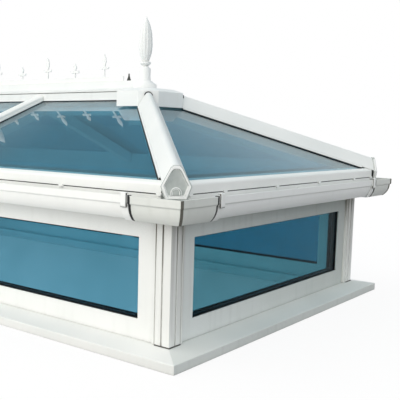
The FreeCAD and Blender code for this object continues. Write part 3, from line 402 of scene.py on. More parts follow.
def corner_dirt_and_shade(tree, place, cornered):
    """The share of speckled dirt and painted shade in grooves and inner corners."""
    speck = add_node(tree, "ShaderNodeTexNoise", {"Vector": place, "Scale": 1 / SPECK, "Detail": 2.0})
    patch = add_node(tree, "ShaderNodeMapRange", {
        "Value": speck.outputs["Fac"], "From Min": NOISE_LOW, "From Max": NOISE_HIGH,
        "To Min": THIN_SPECK, "To Max": 1.0})
    openness = add_node(tree, "ShaderNodeAmbientOcclusion", {
        "Distance": CORNER_REACH}, samples=OPENNESS_SAMPLES)
    depth = add_node(tree, "ShaderNodeMapRange", {
        "Value": openness.outputs["AO"], "From Min": CORNER_OPEN, "From Max": CORNER_CLOSED,
        "To Min": 0.0, "To Max": cornered})
    held = add_node(tree, "ShaderNodeMath", {0: depth.outputs[0], 1: patch.outputs[0]}, operation="MULTIPLY")
    return held.outputs[0]


print("corner dirt within", round(CORNER_REACH / MM), "mm")

# %% [markdown]
# No rain falls close under the gutter, so dust stays there, and the gutter's shade is painted there in
# the same grey. The same node with a longer reach finds such places, and the height keeps the dust and
# shade away from the foot of the frames, which the sill closes in.

# %% Shelter dust and painted shade
SHELTER_REACH = 170 * MM
SHELTER_OPEN = 0.72
SHELTER_CLOSED = 0.36
SHELTER_LOW = 230 * MM
SHELTER_HIGH = 400 * MM


def dust_and_shade_under_gutter(tree, place, sheltered):
    """The share of dust and painted shade close under the gutter, where no rain falls."""
    openness = add_node(tree, "ShaderNodeAmbientOcclusion", {
        "Distance": SHELTER_REACH}, samples=OPENNESS_SAMPLES)
    closed_in = add_node(tree, "ShaderNodeMapRange", {
        "Value": openness.outputs["AO"], "From Min": SHELTER_OPEN, "From Max": SHELTER_CLOSED,
        "To Min": 0.0, "To Max": sheltered})
    height = add_node(tree, "ShaderNodeSeparateXYZ", {0: place})
    under_gutter = add_node(tree, "ShaderNodeMapRange", {
        "Value": height.outputs["Z"], "From Min": SHELTER_LOW, "From Max": SHELTER_HIGH})
    dust_and_shade = add_node(tree, "ShaderNodeMath", {
        0: closed_in.outputs[0], 1: under_gutter.outputs[0]}, operation="MULTIPLY")
    return dust_and_shade.outputs[0]


print("shelter dust from", round(SHELTER_LOW / MM), "mm up")

# %% [markdown]
# The plastic itself is one function, because all its whites differ only in colour, gloss, dirt and
# painted shade. Its gloss and colour change slowly over a hand's width, and fine flow marks lie on its skin.

# %% White uPVC
WAVE = 180 * MM
# Real flow marks are about 1 mm apart: drawn coarser here so that they show
FLOW_MARK = 6 * MM
FLOW_MARK_DEEP = 0.1 * MM
FLOW_MARK_STRENGTH = 0.12
AGED_BELOW = 0.2
CLEAN_ABOVE = 0.8
UPVC_IOR = 1.54


def upvc(name, clean, aged, grime_and_shade, smooth, rough, washed=0.05, sheltered=0.0, cornered=0.6, mirror=0.5):
    """White PVC with slow colour change, rain streaks, and dirt and painted shade in corners and under the
    gutter.
    """
    material, tree = new_material(name)
    place = add_node(tree, "ShaderNodeTexCoord").outputs["Object"]
    slow = add_node(tree, "ShaderNodeTexNoise", {"Vector": place, "Scale": 1 / WAVE, "Detail": 0.0})
    body = add_node(tree, "ShaderNodeValToRGB", {"Fac": slow.outputs["Fac"]})
    body.color_ramp.elements[0].position = AGED_BELOW
    body.color_ramp.elements[0].color = hex_colour(aged)
    body.color_ramp.elements[1].position = CLEAN_ABOVE
    body.color_ramp.elements[1].color = hex_colour(clean)
    settled_and_shaded = add_node(tree, "ShaderNodeMath", {
        0: corner_dirt_and_shade(tree, place, cornered), 1: dust_and_shade_under_gutter(tree, place, sheltered)}, operation="MAXIMUM")
    dirt_and_shade = add_node(tree, "ShaderNodeMath", {
        0: settled_and_shaded.outputs[0], 1: rain_streaks(tree, place, washed)}, operation="ADD", use_clamp=True)
    coat = add_node(tree, "ShaderNodeMix", {
        MIX_SHARE: dirt_and_shade.outputs[0], MIX_FIRST: body.outputs["Color"], MIX_SECOND: hex_colour(grime_and_shade)},
        data_type="RGBA")
    gloss = add_node(tree, "ShaderNodeMapRange", {
        "Value": slow.outputs["Fac"], "From Min": NOISE_LOW, "From Max": NOISE_HIGH,
        "To Min": smooth, "To Max": rough})
    mark = add_node(tree, "ShaderNodeTexNoise", {"Vector": place, "Scale": 1 / FLOW_MARK, "Detail": 2.0})
    relief = add_node(tree, "ShaderNodeBump", {
        "Height": mark.outputs["Fac"], "Strength": FLOW_MARK_STRENGTH, "Distance": FLOW_MARK_DEEP})
    shell = add_node(tree, "ShaderNodeBsdfPrincipled", {
        "Base Color": coat.outputs[MIX_RESULT], "Roughness": gloss.outputs[0], "IOR": UPVC_IOR,
        "Specular IOR Level": mirror, "Normal": relief.outputs[0]})
    add_node(tree, "ShaderNodeOutputMaterial", {"Surface": shell.outputs[0]})
    print(name)
    return material


print("plastic with an index of", UPVC_IOR)

# %% Whites of the parts
# Extruded lengths are even and a little warm, and mouldings come out of a polished tool
white_upvc = upvc("white_upvc_extruded", "#F4F5F3", "#EEF0EE", "#B0AFA6", smooth=0.31, rough=0.42)
moulded_upvc = upvc("white_upvc_moulded", "#F6F7F6", "#F0F2F1", "#B9B6AC", smooth=0.32, rough=0.44)
# No rain reaches the frames close under the gutter, so grey dust stays there, deepened by painted shade
frame_upvc = upvc("white_upvc_frames", "#F5F6F4", "#F0F2F0", "#77746C", smooth=0.32, rough=0.44,
                  sheltered=0.58)
# The shaded end holds a brown green film and stronger rain streaks as well, and has lost its gloss.
# Its darker whites and deep dirt are partly painted shade, for the end that faces away from the light
weathered_and_shaded_upvc = upvc("white_upvc_weathered_and_shaded", "#EBEEEB", "#E2E6E3", "#6B6A5D", smooth=0.50, rough=0.64,
                      washed=0.10, sheltered=0.60, mirror=0.15)
shaded_upvc = upvc("white_upvc_shaded_frame", "#F0F3F2", "#E8ECEA", "#6B6A5D", smooth=0.50, rough=0.64,
                   washed=0.12, sheltered=0.48, mirror=0.15)
# The posts stand under the gutter's corners, which drip, so their ribs are streaked, and their strong
# grey close under the gutter is partly painted shade
post_upvc = upvc("white_upvc_streaked_and_shaded", "#F2F3F1", "#EBEDEA", "#6B6352", smooth=0.40, rough=0.52,
                 washed=0.20, sheltered=0.78, cornered=0.25, mirror=0.3)
# The gutter over the shaded end holds dark dirt along its step and under its curve, deepened by painted shade
gutter_upvc = upvc("white_upvc_gutter_end", "#FAFBFA", "#F6F8F7", "#66655C", smooth=0.36, rough=0.48,
                   washed=0.04)
# The moulded gutter corners have greyed more than the runs beside them
corner_upvc = upvc("white_upvc_gutter_corners", "#E0E2DE", "#D6D9D4", "#8F8B7C", smooth=0.36, rough=0.48,
                   washed=0.12)
# The caps along the hips and ridge face the sky and have dulled a little all over
roof_upvc = upvc("white_upvc_roof", "#EDEFEE", "#E6E9E8", "#9FA09A", smooth=0.34, rough=0.46,
                 washed=0.10)
# The shields at the feet of the hips are mouldings too, with darker dirt and painted shade in their corners
shield_upvc = upvc("white_upvc_shields", "#F6F7F6", "#F0F2F1", "#8E928C", smooth=0.32, rough=0.44)

# %% [markdown]
# The frame of the shaded end gets a painted shade that greys it towards the back, where the sun never
# reaches it. Its white could simply be darker, but then the near end would be too dark. So a grey
# layer of painted shade is laid over it, with a share that grows along the side.

# %% Painted shade on the shaded frame
SHADE_AT_BACK = 0.62
tree = shaded_upvc.node_tree
place = add_node(tree, "ShaderNodeTexCoord").outputs["Object"]
along = add_node(tree, "ShaderNodeSeparateXYZ", {0: place})
grey_share = add_node(tree, "ShaderNodeMapRange", {
    "Value": along.outputs["Y"], "From Min": cad_box[0][1], "From Max": cad_box[1][1],
    "To Min": 0.0, "To Max": SHADE_AT_BACK})
lay_colour(shaded_upvc, grey_share.outputs[0], "#A6ADA8")

# %% [markdown]
# The faces of the posts that look to the shaded end have fine grey streaks, which are partly painted
# shade, since only those faces get them. They are darkest under the gutter's corner and thin out
# towards the sill. A noise that is stretched upright gives them, and the way a face looks says where
# they go, so the sunny faces of the same posts stay clean.

# %% Streaks and painted shade on the posts
FINE_STREAK_WIDE = 9 * MM
FINE_STREAK_TALL = 500 * MM
STREAK_FOOT = 60 * MM
STREAK_HEAD = 430 * MM
FOOT_SHARE = 0.15
CLEAN_UNDER = 0.35
GREY_OVER = 0.65
LEAST_GREY = 0.1
MOST_GREY = 0.45
LOOKS_RIGHT = 0.5
tree = post_upvc.node_tree
place = add_node(tree, "ShaderNodeTexCoord").outputs["Object"]
stretch = add_node(tree, "ShaderNodeMapping", {
    "Vector": place, "Scale": (1 / FINE_STREAK_WIDE, 1 / FINE_STREAK_WIDE, 1 / FINE_STREAK_TALL)})
streak = add_node(tree, "ShaderNodeTexNoise", {"Vector": stretch.outputs[0], "Scale": 1.0, "Detail": 1.0})
grey_share = add_node(tree, "ShaderNodeMapRange", {
    "Value": streak.outputs["Fac"], "From Min": CLEAN_UNDER, "From Max": GREY_OVER,
    "To Min": LEAST_GREY, "To Max": MOST_GREY})
normal = add_node(tree, "ShaderNodeNewGeometry").outputs["Normal"]
facing = add_node(tree, "ShaderNodeSeparateXYZ", {0: normal})
shaded = add_node(tree, "ShaderNodeMath", {
    0: facing.outputs["X"], 1: LOOKS_RIGHT}, operation="GREATER_THAN")
height = add_node(tree, "ShaderNodeSeparateXYZ", {0: place})
rise = add_node(tree, "ShaderNodeMapRange", {
    "Value": height.outputs["Z"], "From Min": STREAK_FOOT, "From Max": STREAK_HEAD,
    "To Min": FOOT_SHARE, "To Max": 1.0})
share = add_node(tree, "ShaderNodeMath", {0: grey_share.outputs[0], 1: shaded.outputs[0]}, operation="MULTIPLY")
share = add_node(tree, "ShaderNodeMath", {0: share.outputs[0], 1: rise.outputs[0]}, operation="MULTIPLY")
lay_colour(post_upvc, share.outputs[0], "#86827A")

# %% [markdown]
# The shield at the foot of each hip has a sunk face. It faces away from the light, so a grey painted
# shade is laid in it and on its slanted sides, and the raised rim stays white. The faces could be
# picked by hand, but the solids keep their meshes, so a rule finds them. How far out a point lies
# along the diagonal is the sum of its distances from the two middle planes, and tells the sunk face
# from the rim. The same sum of a face's normal is 1.41 for a face square to the diagonal, and about
# 1 for a slanted one.

# %% Sunk and slanted faces of the shields
SUNK_BELOW = 2044 * MM
SQUARE_OVER = 1.38
SLANTED_SUM = 1.0
SLANTED_SLACK = 0.2
LEVEL_SUM = (1, 1, 0)
tree = shield_upvc.node_tree
place = add_node(tree, "ShaderNodeTexCoord").outputs["Object"]
outward = add_node(tree, "ShaderNodeVectorMath", {0: place}, operation="ABSOLUTE")
diagonal = add_node(tree, "ShaderNodeVectorMath", {
    0: outward.outputs[0], 1: LEVEL_SUM}, operation="DOT_PRODUCT")
sunk = add_node(tree, "ShaderNodeMath", {
    0: diagonal.outputs["Value"], 1: SUNK_BELOW}, operation="LESS_THAN")
normal = add_node(tree, "ShaderNodeNewGeometry").outputs["True Normal"]
turned = add_node(tree, "ShaderNodeVectorMath", {0: normal}, operation="ABSOLUTE")
level_part = add_node(tree, "ShaderNodeVectorMath", {
    0: turned.outputs[0], 1: LEVEL_SUM}, operation="DOT_PRODUCT")
square = add_node(tree, "ShaderNodeMath", {
    0: level_part.outputs["Value"], 1: SQUARE_OVER}, operation="GREATER_THAN")
slanted = add_node(tree, "ShaderNodeMath", {
    0: level_part.outputs["Value"], 1: SLANTED_SUM, 2: SLANTED_SLACK}, operation="COMPARE")
print("sunk face within", round(SUNK_BELOW, 3), "m along the diagonal")

# %% Painted shade on the shields
THINNEST_SHADE = 0.7
cloud = add_node(tree, "ShaderNodeTexNoise", {"Vector": place, "Scale": 1 / STREAK_WIDE})
grey_share = add_node(tree, "ShaderNodeMapRange", {
    "Value": cloud.outputs["Fac"], "From Min": NOISE_LOW, "From Max": NOISE_HIGH,
    "To Min": THINNEST_SHADE, "To Max": 1.0})
share = add_node(tree, "ShaderNodeMath", {0: sunk.outputs[0], 1: square.outputs[0]}, operation="MULTIPLY")
share = add_node(tree, "ShaderNodeMath", {0: share.outputs[0], 1: slanted.outputs[0]}, operation="MAXIMUM")
share = add_node(tree, "ShaderNodeMath", {0: share.outputs[0], 1: grey_share.outputs[0]}, operation="MULTIPLY")
lay_colour(shield_upvc, share.outputs[0], "#A2AAA7")

# %% [markdown]
# ## Powder-coated aluminium
#
# The bars inside the roof are aluminium under a baked white powder. No metal shows, so the material
# is that of the coat: duller than the plastic, with the fine pebbled skin of melted powder. Cells of
# a Voronoi pattern are rounder than noise and look more like such pebbles.

# %% Powder-coated aluminium
# Powder pebbles are about 1.5 mm across: drawn at 5 mm so that they show
PEBBLE = 5 * MM
PEBBLE_DEEP = 0.2 * MM
PEBBLE_STRENGTH = 0.15
POWDER_SMOOTH = 0.42
POWDER_ROUGH = 0.58
POWDER_IOR = 1.5
powder, tree = new_material("white_powder_coat")
place = add_node(tree, "ShaderNodeTexCoord").outputs["Object"]
slow = add_node(tree, "ShaderNodeTexNoise", {"Vector": place, "Scale": 1 / WAVE, "Detail": 2.0})
tone = add_node(tree, "ShaderNodeValToRGB", {"Fac": slow.outputs["Fac"]})
tone.color_ramp.elements[0].color = hex_colour("#E2E6E7")
tone.color_ramp.elements[1].color = hex_colour("#F0F2F2")
pebbles = add_node(tree, "ShaderNodeTexVoronoi", {"Vector": place, "Scale": 1 / PEBBLE})
relief = add_node(tree, "ShaderNodeBump", {
    "Height": pebbles.outputs["Distance"], "Strength": PEBBLE_STRENGTH, "Distance": PEBBLE_DEEP})
gloss = add_node(tree, "ShaderNodeMapRange", {
    "Value": slow.outputs["Fac"], "To Min": POWDER_SMOOTH, "To Max": POWDER_ROUGH})
shell = add_node(tree, "ShaderNodeBsdfPrincipled", {
    "Base Color": tone.outputs["Color"], "Roughness": gloss.outputs[0], "IOR": POWDER_IOR,
    "Normal": relief.outputs[0]})
add_node(tree, "ShaderNodeOutputMaterial", {"Surface": shell.outputs[0]})
print(powder.name)

# %% [markdown]
# ## Tinted glass
#
# The panes are float glass with a blue body tint, sealed in pairs. White plastic seen through one
# unit looks teal, and through two it looks deep blue. A tinted volume could give that, but it is slow
# and noisy, so each pane's surface carries the tint. The sides of the real lantern faced a darker
# yard than this studio, so their mirror is weaker than that of the roof, which shows the sky.
# Daylight falls through the panes on to the inside, so a ray that only carries light meets a clear
# film with a trace of the tint.

# %% Tinted glass
SMEAR = 140 * MM
SMEAR_FROM = 0.45
SMEAR_FULL = 0.75
SMEAR_ROUGH = 0.03
TRACE_OF_TINT = 0.2


def tinted_glass(name, deep, pale, index):
    """Blue float glass with faint smears. The index is 1.5 for plain glass, less for a dim yard."""
    material, tree = new_material(name)
    place = add_node(tree, "ShaderNodeTexCoord").outputs["Object"]
    smear = add_node(tree, "ShaderNodeTexNoise", {"Vector": place, "Scale": 1 / SMEAR, "Detail": 4.0})
    tint = add_node(tree, "ShaderNodeValToRGB", {"Fac": smear.outputs["Fac"]})
    tint.color_ramp.elements[0].position = NOISE_LOW
    tint.color_ramp.elements[0].color = hex_colour(deep)
    tint.color_ramp.elements[1].position = NOISE_HIGH
    tint.color_ramp.elements[1].color = hex_colour(pale)
    haze = add_node(tree, "ShaderNodeMapRange", {
        "Value": smear.outputs["Fac"], "From Min": SMEAR_FROM, "From Max": SMEAR_FULL,
        "To Min": 0.0, "To Max": SMEAR_ROUGH})
    pane = add_node(tree, "ShaderNodeBsdfPrincipled", {
        "Base Color": tint.outputs["Color"], "Roughness": haze.outputs[0], "IOR": index,
        "Transmission Weight": 1.0})
    trace = add_node(tree, "ShaderNodeGamma", {"Color": tint.outputs["Color"], "Gamma": TRACE_OF_TINT})
    clear = add_node(tree, "ShaderNodeBsdfTransparent", {"Color": trace.outputs[0]})
    ray = add_node(tree, "ShaderNodeLightPath")
    carries_light = add_node(tree, "ShaderNodeMath", {
        0: ray.outputs["Is Shadow Ray"], 1: ray.outputs["Is Diffuse Ray"]}, operation="MAXIMUM")
    either = add_node(tree, "ShaderNodeMixShader", {
        0: carries_light.outputs[0], 1: pane.outputs[0], 2: clear.outputs[0]})
    add_node(tree, "ShaderNodeOutputMaterial", {"Surface": either.outputs[0]})
    return material


side_glass = tinted_glass("blue_float_glass_sides", "#98C6D5", "#9FCBDA", index=1.14)
# The end panes take a deeper tint than the sides, as painted shade for the end that faces away from the light
end_glass = tinted_glass("blue_float_glass_ends", "#8DB9C4", "#94BFCA", index=1.08)
roof_glass = tinted_glass("blue_float_glass_roof", "#97C4D2", "#9FCAD8", index=1.5)
print(side_glass.name, end_glass.name, roof_glass.name)

# %% [markdown]
# ## Rubber, spacer bar and sealant
#
# Black EPDM gaskets bed the glass. A black ribbed spacer bar keeps the two panes of a unit apart, and
# shows as a dark band behind the outer pane. Sealant is greyer, and a grey band of painted shadow
# lies along the gutter's mitres. The black rubber and grey sealant are also painted shadow in some
# gaps further on. All four are dull strips with a fine skin, so one function makes them, from two
# colours and a roughness.

# %% Rubber, spacer bar and sealant
RIB = 4 * MM
RIB_DEEP = 0.3 * MM
RIB_STRENGTH = 0.3
STRIP_IOR = 1.5


def dull_strip(name, dark, light, rough):
    """A dull dark strip with a fine ribbed skin."""
    material, tree = new_material(name)
    place = add_node(tree, "ShaderNodeTexCoord").outputs["Object"]
    grain = add_node(tree, "ShaderNodeTexNoise", {"Vector": place, "Scale": 1 / RIB, "Detail": 3.0})
    tone = add_node(tree, "ShaderNodeValToRGB", {"Fac": grain.outputs["Fac"]})
    tone.color_ramp.elements[0].color = hex_colour(dark)
    tone.color_ramp.elements[1].color = hex_colour(light)
    ribs = add_node(tree, "ShaderNodeBump", {
        "Height": grain.outputs["Fac"], "Strength": RIB_STRENGTH, "Distance": RIB_DEEP})
    shell = add_node(tree, "ShaderNodeBsdfPrincipled", {
        "Base Color": tone.outputs["Color"], "Roughness": rough, "IOR": STRIP_IOR,
        "Normal": ribs.outputs[0]})
    add_node(tree, "ShaderNodeOutputMaterial", {"Surface": shell.outputs[0]})
    return material


rubber_and_shadow = dull_strip("black_epdm_rubber_and_painted_shadow", "#0E0F11", "#1C1E21", rough=0.6)
spacer_bar = dull_strip("black_spacer_bar", "#15181B", "#24282C", rough=0.5)
sealant_and_shadow = dull_strip("dark_grey_sealant_and_painted_shadow", "#3A3A37", "#565650", rough=0.55)
mitre_shadow = dull_strip("mitre_groove_painted_shadow", "#4E4C44", "#77746A", rough=0.7)
print(rubber_and_shadow.name, spacer_bar.name, sealant_and_shadow.name, mitre_shadow.name)

# %% [markdown]
# The units of the roof have a paler spacer bar than those of the sides. All the bars are one part of
# the solid model and have one material, so the two kinds are told apart by their height.

# %% Paler spacer bars in the roof
ROOF_FROM = 500 * MM
tree = spacer_bar.node_tree
place = add_node(tree, "ShaderNodeTexCoord").outputs["Object"]
height = add_node(tree, "ShaderNodeSeparateXYZ", {0: place})
in_roof = add_node(tree, "ShaderNodeMath", {
    0: height.outputs["Z"], 1: ROOF_FROM}, operation="GREATER_THAN")
lay_colour(spacer_bar, in_roof.outputs[0], "#737E83")

# %% [markdown]
# ## Dress the solids
#
# Every solid keeps its shape and gets its real material. The record of the solid model gives each part
# a slot, and most parts take the finish of their slot. The parts that have weathered in their own way
# are listed by name.

# %% Materials on the solids
FINISH_OF_SLOT = {
    "white_upvc": white_upvc,
    "white_powder_coated_aluminium": powder,
    "blue_tinted_glass": side_glass,
    "black_epdm": rubber_and_shadow,
    "black_spacer_bar": spacer_bar,
}
MOULDED = ("hub_covers", "finials", "cresting", "gutter_unions")
FINISH_OF_NODE = {
    "roof_glass_front": roof_glass, "roof_glass_back": roof_glass, "roof_glass_ends": roof_glass,
    "frame_front": frame_upvc, "frame_back": frame_upvc, "frame_left": frame_upvc,
    "frame_right": shaded_upvc, "sill_right": weathered_and_shaded_upvc, "gutter_right": gutter_upvc,
    "corner_posts": post_upvc, "hip_end_plates": shield_upvc, "glass_ends": end_glass,
    "hip_caps": roof_upvc, "ridge_cap": roof_upvc, "ridge_flashing": roof_upvc,
}
# The four gutter corners are parts of their own and share one finish
for corner_name in ("front_right", "front_left", "back_right", "back_left"):
    FINISH_OF_NODE["gutter_corner_" + corner_name] = corner_upvc
slot_of_node = {entry["node"]: entry["material_slot"] for entry in frame["record"]["subparts"]}
for name, part in nodes.items():
    finish = moulded_upvc if name in MOULDED else FINISH_OF_SLOT[slot_of_node[name]]
    finish = FINISH_OF_NODE.get(name, finish)
    part.data.materials.clear()
    part.data.materials.append(finish)
print(len(nodes), "solids dressed")

# %% [markdown]
# The corners of real profiles are rounded by a millimetre or so, which is what catches the light. The
# solids could be rounded when they are built, but at this size that is a matter of looks, so a bevel
# modifier does it here. A bevel needs clean faces, so the triangles of flat faces are merged first.
# Glass, rubber and spacer bars stay as they are.

# %% Rounded edges
EDGE_ROUND = 1.2 * MM
EDGE_OVER = math.radians(28)
FLAT_WITHIN = math.radians(0.4)
WELD_WITHIN = 0.01 * MM
LEFT_SHARP = ("blue_tinted_glass", "black_epdm", "black_spacer_bar")
for name, part in nodes.items():
    if slot_of_node[name] in LEFT_SHARP:
        continue
    weld = part.modifiers.new("weld", "WELD")
    weld.merge_threshold = WELD_WITHIN
    flat = part.modifiers.new("flat_faces", "DECIMATE")
    flat.decimate_type = "DISSOLVE"
    flat.angle_limit = FLAT_WITHIN
    edge = part.modifiers.new("rounded_edges", "BEVEL")
    edge.width = EDGE_ROUND
    edge.segments = 2
    edge.limit_method = "ANGLE"
    edge.angle_limit = EDGE_OVER
    even = part.modifiers.new("even_normals", "WEIGHTED_NORMAL")
    even.keep_sharp = True
print("edges rounded by", round(EDGE_ROUND / MM, 1), "mm")

# %% [markdown]
# ## Fittings
#
# The last parts a factory fits are small. They could be cut from blocks, but most are one section that
# runs along a path. So each is made as a closed skin: rings of points are set one after another,
# joined by faces, and capped at both ends. A row of rings may also close on itself, as a gasket round a
# window does. The four sides of the lantern are told by two directions, one along the side and one
# outward, so that one set of numbers serves all four.

# %% Places on the lantern
SIDES = {
    "front": (Vector((1, 0, 0)), Vector((0, -1, 0))),
    "right": (Vector((0, 1, 0)), Vector((1, 0, 0))),
    "back": (Vector((-1, 0, 0)), Vector((0, 1, 0))),
    "left": (Vector((0, -1, 0)), Vector((-1, 0, 0))),
}
CORNERS = ((-1, -1), (-1, 1), (1, -1), (1, 1))
# The sill's nose is the edge that most insets are measured from
nose = Vector((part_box("sill_back")[1][0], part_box("sill_right")[1][1]))
nose_out = {"front": nose.y, "back": nose.y, "right": nose.x, "left": nose.x}
nose_end = {"front": nose.x, "back": nose.x, "right": nose.y, "left": nose.y}


def on_side(side, along, out, height):
    """A point from its place along a side, its distance outward and its height."""
    along_way, out_way = SIDES[side]
    return along_way * along + out_way * out + Vector((0, 0, height))


print("nose", rounded(nose), "m from the middle")

# %% Skins and pieces
def loft(skin, rings, endless=False):
    """Join rings of points into a skin, capped at both ends or closed on itself."""
    rows = [[skin.verts.new(point) for point in ring] for ring in rings]
    pairs = list(zip(rows, rows[1:]))
    if endless:
        pairs.append((rows[-1], rows[0]))
    for low, high in pairs:
        for place in range(len(low)):
            after = (place + 1) % len(low)
            skin.faces.new((low[place], low[after], high[after], high[place]))
    if not endless:
        skin.faces.new(rows[0][::-1])
        skin.faces.new(rows[-1])


def add_piece(name, skin, finish, slot, smooth=False):
    """Turn a skin into a fixed piece of the lantern."""
    bmesh.ops.recalc_face_normals(skin, faces=skin.faces)
    for face in skin.faces:
        face.smooth = smooth
    mesh = bpy.data.meshes.new(name)
    skin.to_mesh(mesh)
    skin.free()
    mesh.materials.append(finish)
    piece = bpy.data.objects.new(name, mesh)
    bpy.context.collection.objects.link(piece)
    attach(piece, "root")
    print(name, len(mesh.polygons), "faces")
    return piece


print("helpers:", loft.__name__, add_piece.__name__)

# %% [markdown]
# A gutter union is locked by a plastic tab that hooks over the lip. A slightly larger grey rim behind
# it is painted shadow round the tab's edges. A box cut with other boxes would do, but a side profile
# is drawn once and swept across the width of both. The two ends are drawn in by a millimetre so that
# the edges catch light.

# %% Union tabs
TAB_HALF = 10 * MM
TAB_ROUND = 1 * MM
TAB_SHADOW_MARGIN = 1.8 * MM
UNION_HALF = 13 * MM
# Distance out from the lip and height over its top, in millimetres
TAB_PROFILE = [(-9, 3), (2.5, 3), (4, 1.2), (4, -34), (2.2, -38), (-1, -38), (-1, 0.6), (-9, 0.6)]
TAB_SHADOW_PROFILE = [(-8, 2), (1.2, 2), (2, 1.2), (2, -36), (1.2, -39.8), (-1, -39.8), (-1, 0.6), (-8, 0.6)]
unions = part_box("gutter_unions")
lip_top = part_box("gutter_front")[1][2]
lip_out = {"front": -unions[0][1], "back": unions[1][1], "right": unions[1][0], "left": -unions[0][0]}
run_end = {"front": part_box("gutter_front")[1][0], "back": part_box("gutter_back")[1][0],
           "right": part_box("gutter_right")[1][1], "left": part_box("gutter_left")[1][1]}


def hooked(profile, half):
    """A skin of eight hooks, one over each union, from a side profile and half a width."""
    skin = bmesh.new()
    for side in SIDES:
        for end in (-1, 1):
            middle = end * (run_end[side] - UNION_HALF)
            rings = []
            for across, drawn_in in ((-half, 1), (TAB_ROUND - half, 0), (half - TAB_ROUND, 0), (half, 1)):
                ring = []
                for out, up in profile:
                    # Only the outer face and the top are drawn in
                    reach = lip_out[side] + (out - drawn_in * (out > 0)) * MM
                    height = lip_top + (up - drawn_in * (up > 1)) * MM
                    ring.append(on_side(side, middle + across, reach, height))
                rings.append(ring)
            loft(skin, rings)
    return skin


add_piece("gutter_union_tabs", hooked(TAB_PROFILE, TAB_HALF), moulded_upvc, "white_upvc")
add_piece("gutter_tab_painted_shadows", hooked(TAB_SHADOW_PROFILE, TAB_HALF + TAB_SHADOW_MARGIN), sealant_and_shadow, "black_epdm")

# %% [markdown]
# Half-round clips hold the eaves trim down. Each hangs from the trim's lower edge over the gutter. Half
# a cylinder would have a sharp front, so each is three half rings, the last of them smaller.

# %% Trim clips
CLIP_RADIUS = 11 * MM
CLIP_STEPS = 12
CLIP_RISE = 3 * MM
# Distance out from the trim in millimetres, and size of the ring
CLIP_RINGS = ((-8, 1.0), (1.5, 1.0), (3, 0.86))
LONG_PLACES = (-1270, -869, -435, 0, 435, 869, 1270)
END_PLACES = (-670, -489, -163, 163, 489, 670)
CLIP_PLACES = {"front": LONG_PLACES, "right": END_PLACES, "back": LONG_PLACES, "left": END_PLACES}
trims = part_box("eaves_trims")
trim_out = {"front": -trims[0][1], "back": trims[1][1], "right": trims[1][0], "left": -trims[0][0]}
clip_top = trims[0][2] + CLIP_RISE
skin = bmesh.new()
for side, places in CLIP_PLACES.items():
    for middle in places:
        rings = []
        for out, size in CLIP_RINGS:
            ring = []
            for step in range(CLIP_STEPS + 1):
                angle = math.pi * (1 + step / CLIP_STEPS)
                along = middle * MM + size * CLIP_RADIUS * math.cos(angle)
                height = clip_top + size * CLIP_RADIUS * math.sin(angle)
                ring.append(on_side(side, along, trim_out[side] + out * MM, height))
            rings.append(ring)
        loft(skin, rings)
add_piece("eaves_trim_clips", skin, moulded_upvc, "white_upvc")

# %% [markdown]
# Behind each shield, the ends of the trims are wrapped in a black sleeve of painted shadow. It shows
# as a dark corner where the far end of a hip lies in shade, seen from the side. It could be a swollen
# copy of the trim's end, but a thin sleeve that follows the outside of the trim has cleaner faces.

# %% Painted shadow at the trim ends
SHIELD_PLANE = 2028 * MM
END_SHADOW_LONG = 15 * MM
END_SHADOW_SLACK = 0.4 * MM
trim_low = trims[0][2] / MM
trim_high = trims[1][2] / MM
# Distance in from the nose and height, in millimetres
END_SHADOW_OUTLINE = [
    (15.2, trim_low - 0.8), (15.2, 536), (17.8, 542), (24.6, trim_high - 4.4), (37, trim_high + 0.8),
    (37, trim_high - 2), (25, trim_high - 7), (19, 540), (17.5, 535), (17.5, trim_low + 1)]
skin = bmesh.new()
for side in SIDES:
    for end in (-1, 1):
        rings = []
        for back in (END_SHADOW_SLACK, END_SHADOW_LONG):
            ring = []
            for inset, up in END_SHADOW_OUTLINE:
                along = end * (SHIELD_PLANE - nose_out[side] + inset * MM - back)
                ring.append(on_side(side, along, nose_out[side] - inset * MM, up * MM))
            rings.append(ring)
        loft(skin, rings)
add_piece("trim_end_painted_shadows", skin, rubber_and_shadow, "black_epdm")

# %% [markdown]
# A white drip skirt hangs from the seal under the trim. It closes the gap over the gutter, and a
# thin black line of the seal stays in sight above it. A plain strip would do, but with its lower edge
# cut off a little it catches a line of light.

# %% Drip skirts
SKIRT_OUTER = 19 * MM
SKIRT_INNER = 20.5 * MM
SKIRT_DROP = 20 * MM
SKIRT_SHORT = 76 * MM
SKIRT_CUT = 0.5 * MM
SEAL_IN_SIGHT = 3 * MM
skirt_top = trims[0][2] - SEAL_IN_SIGHT
SKIRT_SECTION = [(SKIRT_OUTER, 0), (SKIRT_INNER, 0), (SKIRT_INNER, SKIRT_DROP),
                 (SKIRT_OUTER + SKIRT_CUT, SKIRT_DROP), (SKIRT_OUTER, SKIRT_DROP - SKIRT_CUT)]
skin = bmesh.new()
for side in SIDES:
    rings = []
    for along in (SKIRT_SHORT - nose_end[side], nose_end[side] - SKIRT_SHORT):
        rings.append([on_side(side, along, nose_out[side] - inset, skirt_top - fall)
                      for inset, fall in SKIRT_SECTION])
    loft(skin, rings)
add_piece("drip_skirts", skin, white_upvc, "white_upvc")

# %% [markdown]
# The moulded gutter corners are two halves joined at the mitre, where a groove lies in shade, so a
# grey band of painted shadow runs along it. A black seal lip shows at each end of a corner. They could
# be painted on with a material, but bands that stand proud have an edge. So thin bands follow the ogee
# of the moulding, with rings set along one outline: lip, step and curve.

# %% Outline of the gutter corners
BAND_PROUD = 0.6 * MM
BAND_DEEP = 1.5 * MM
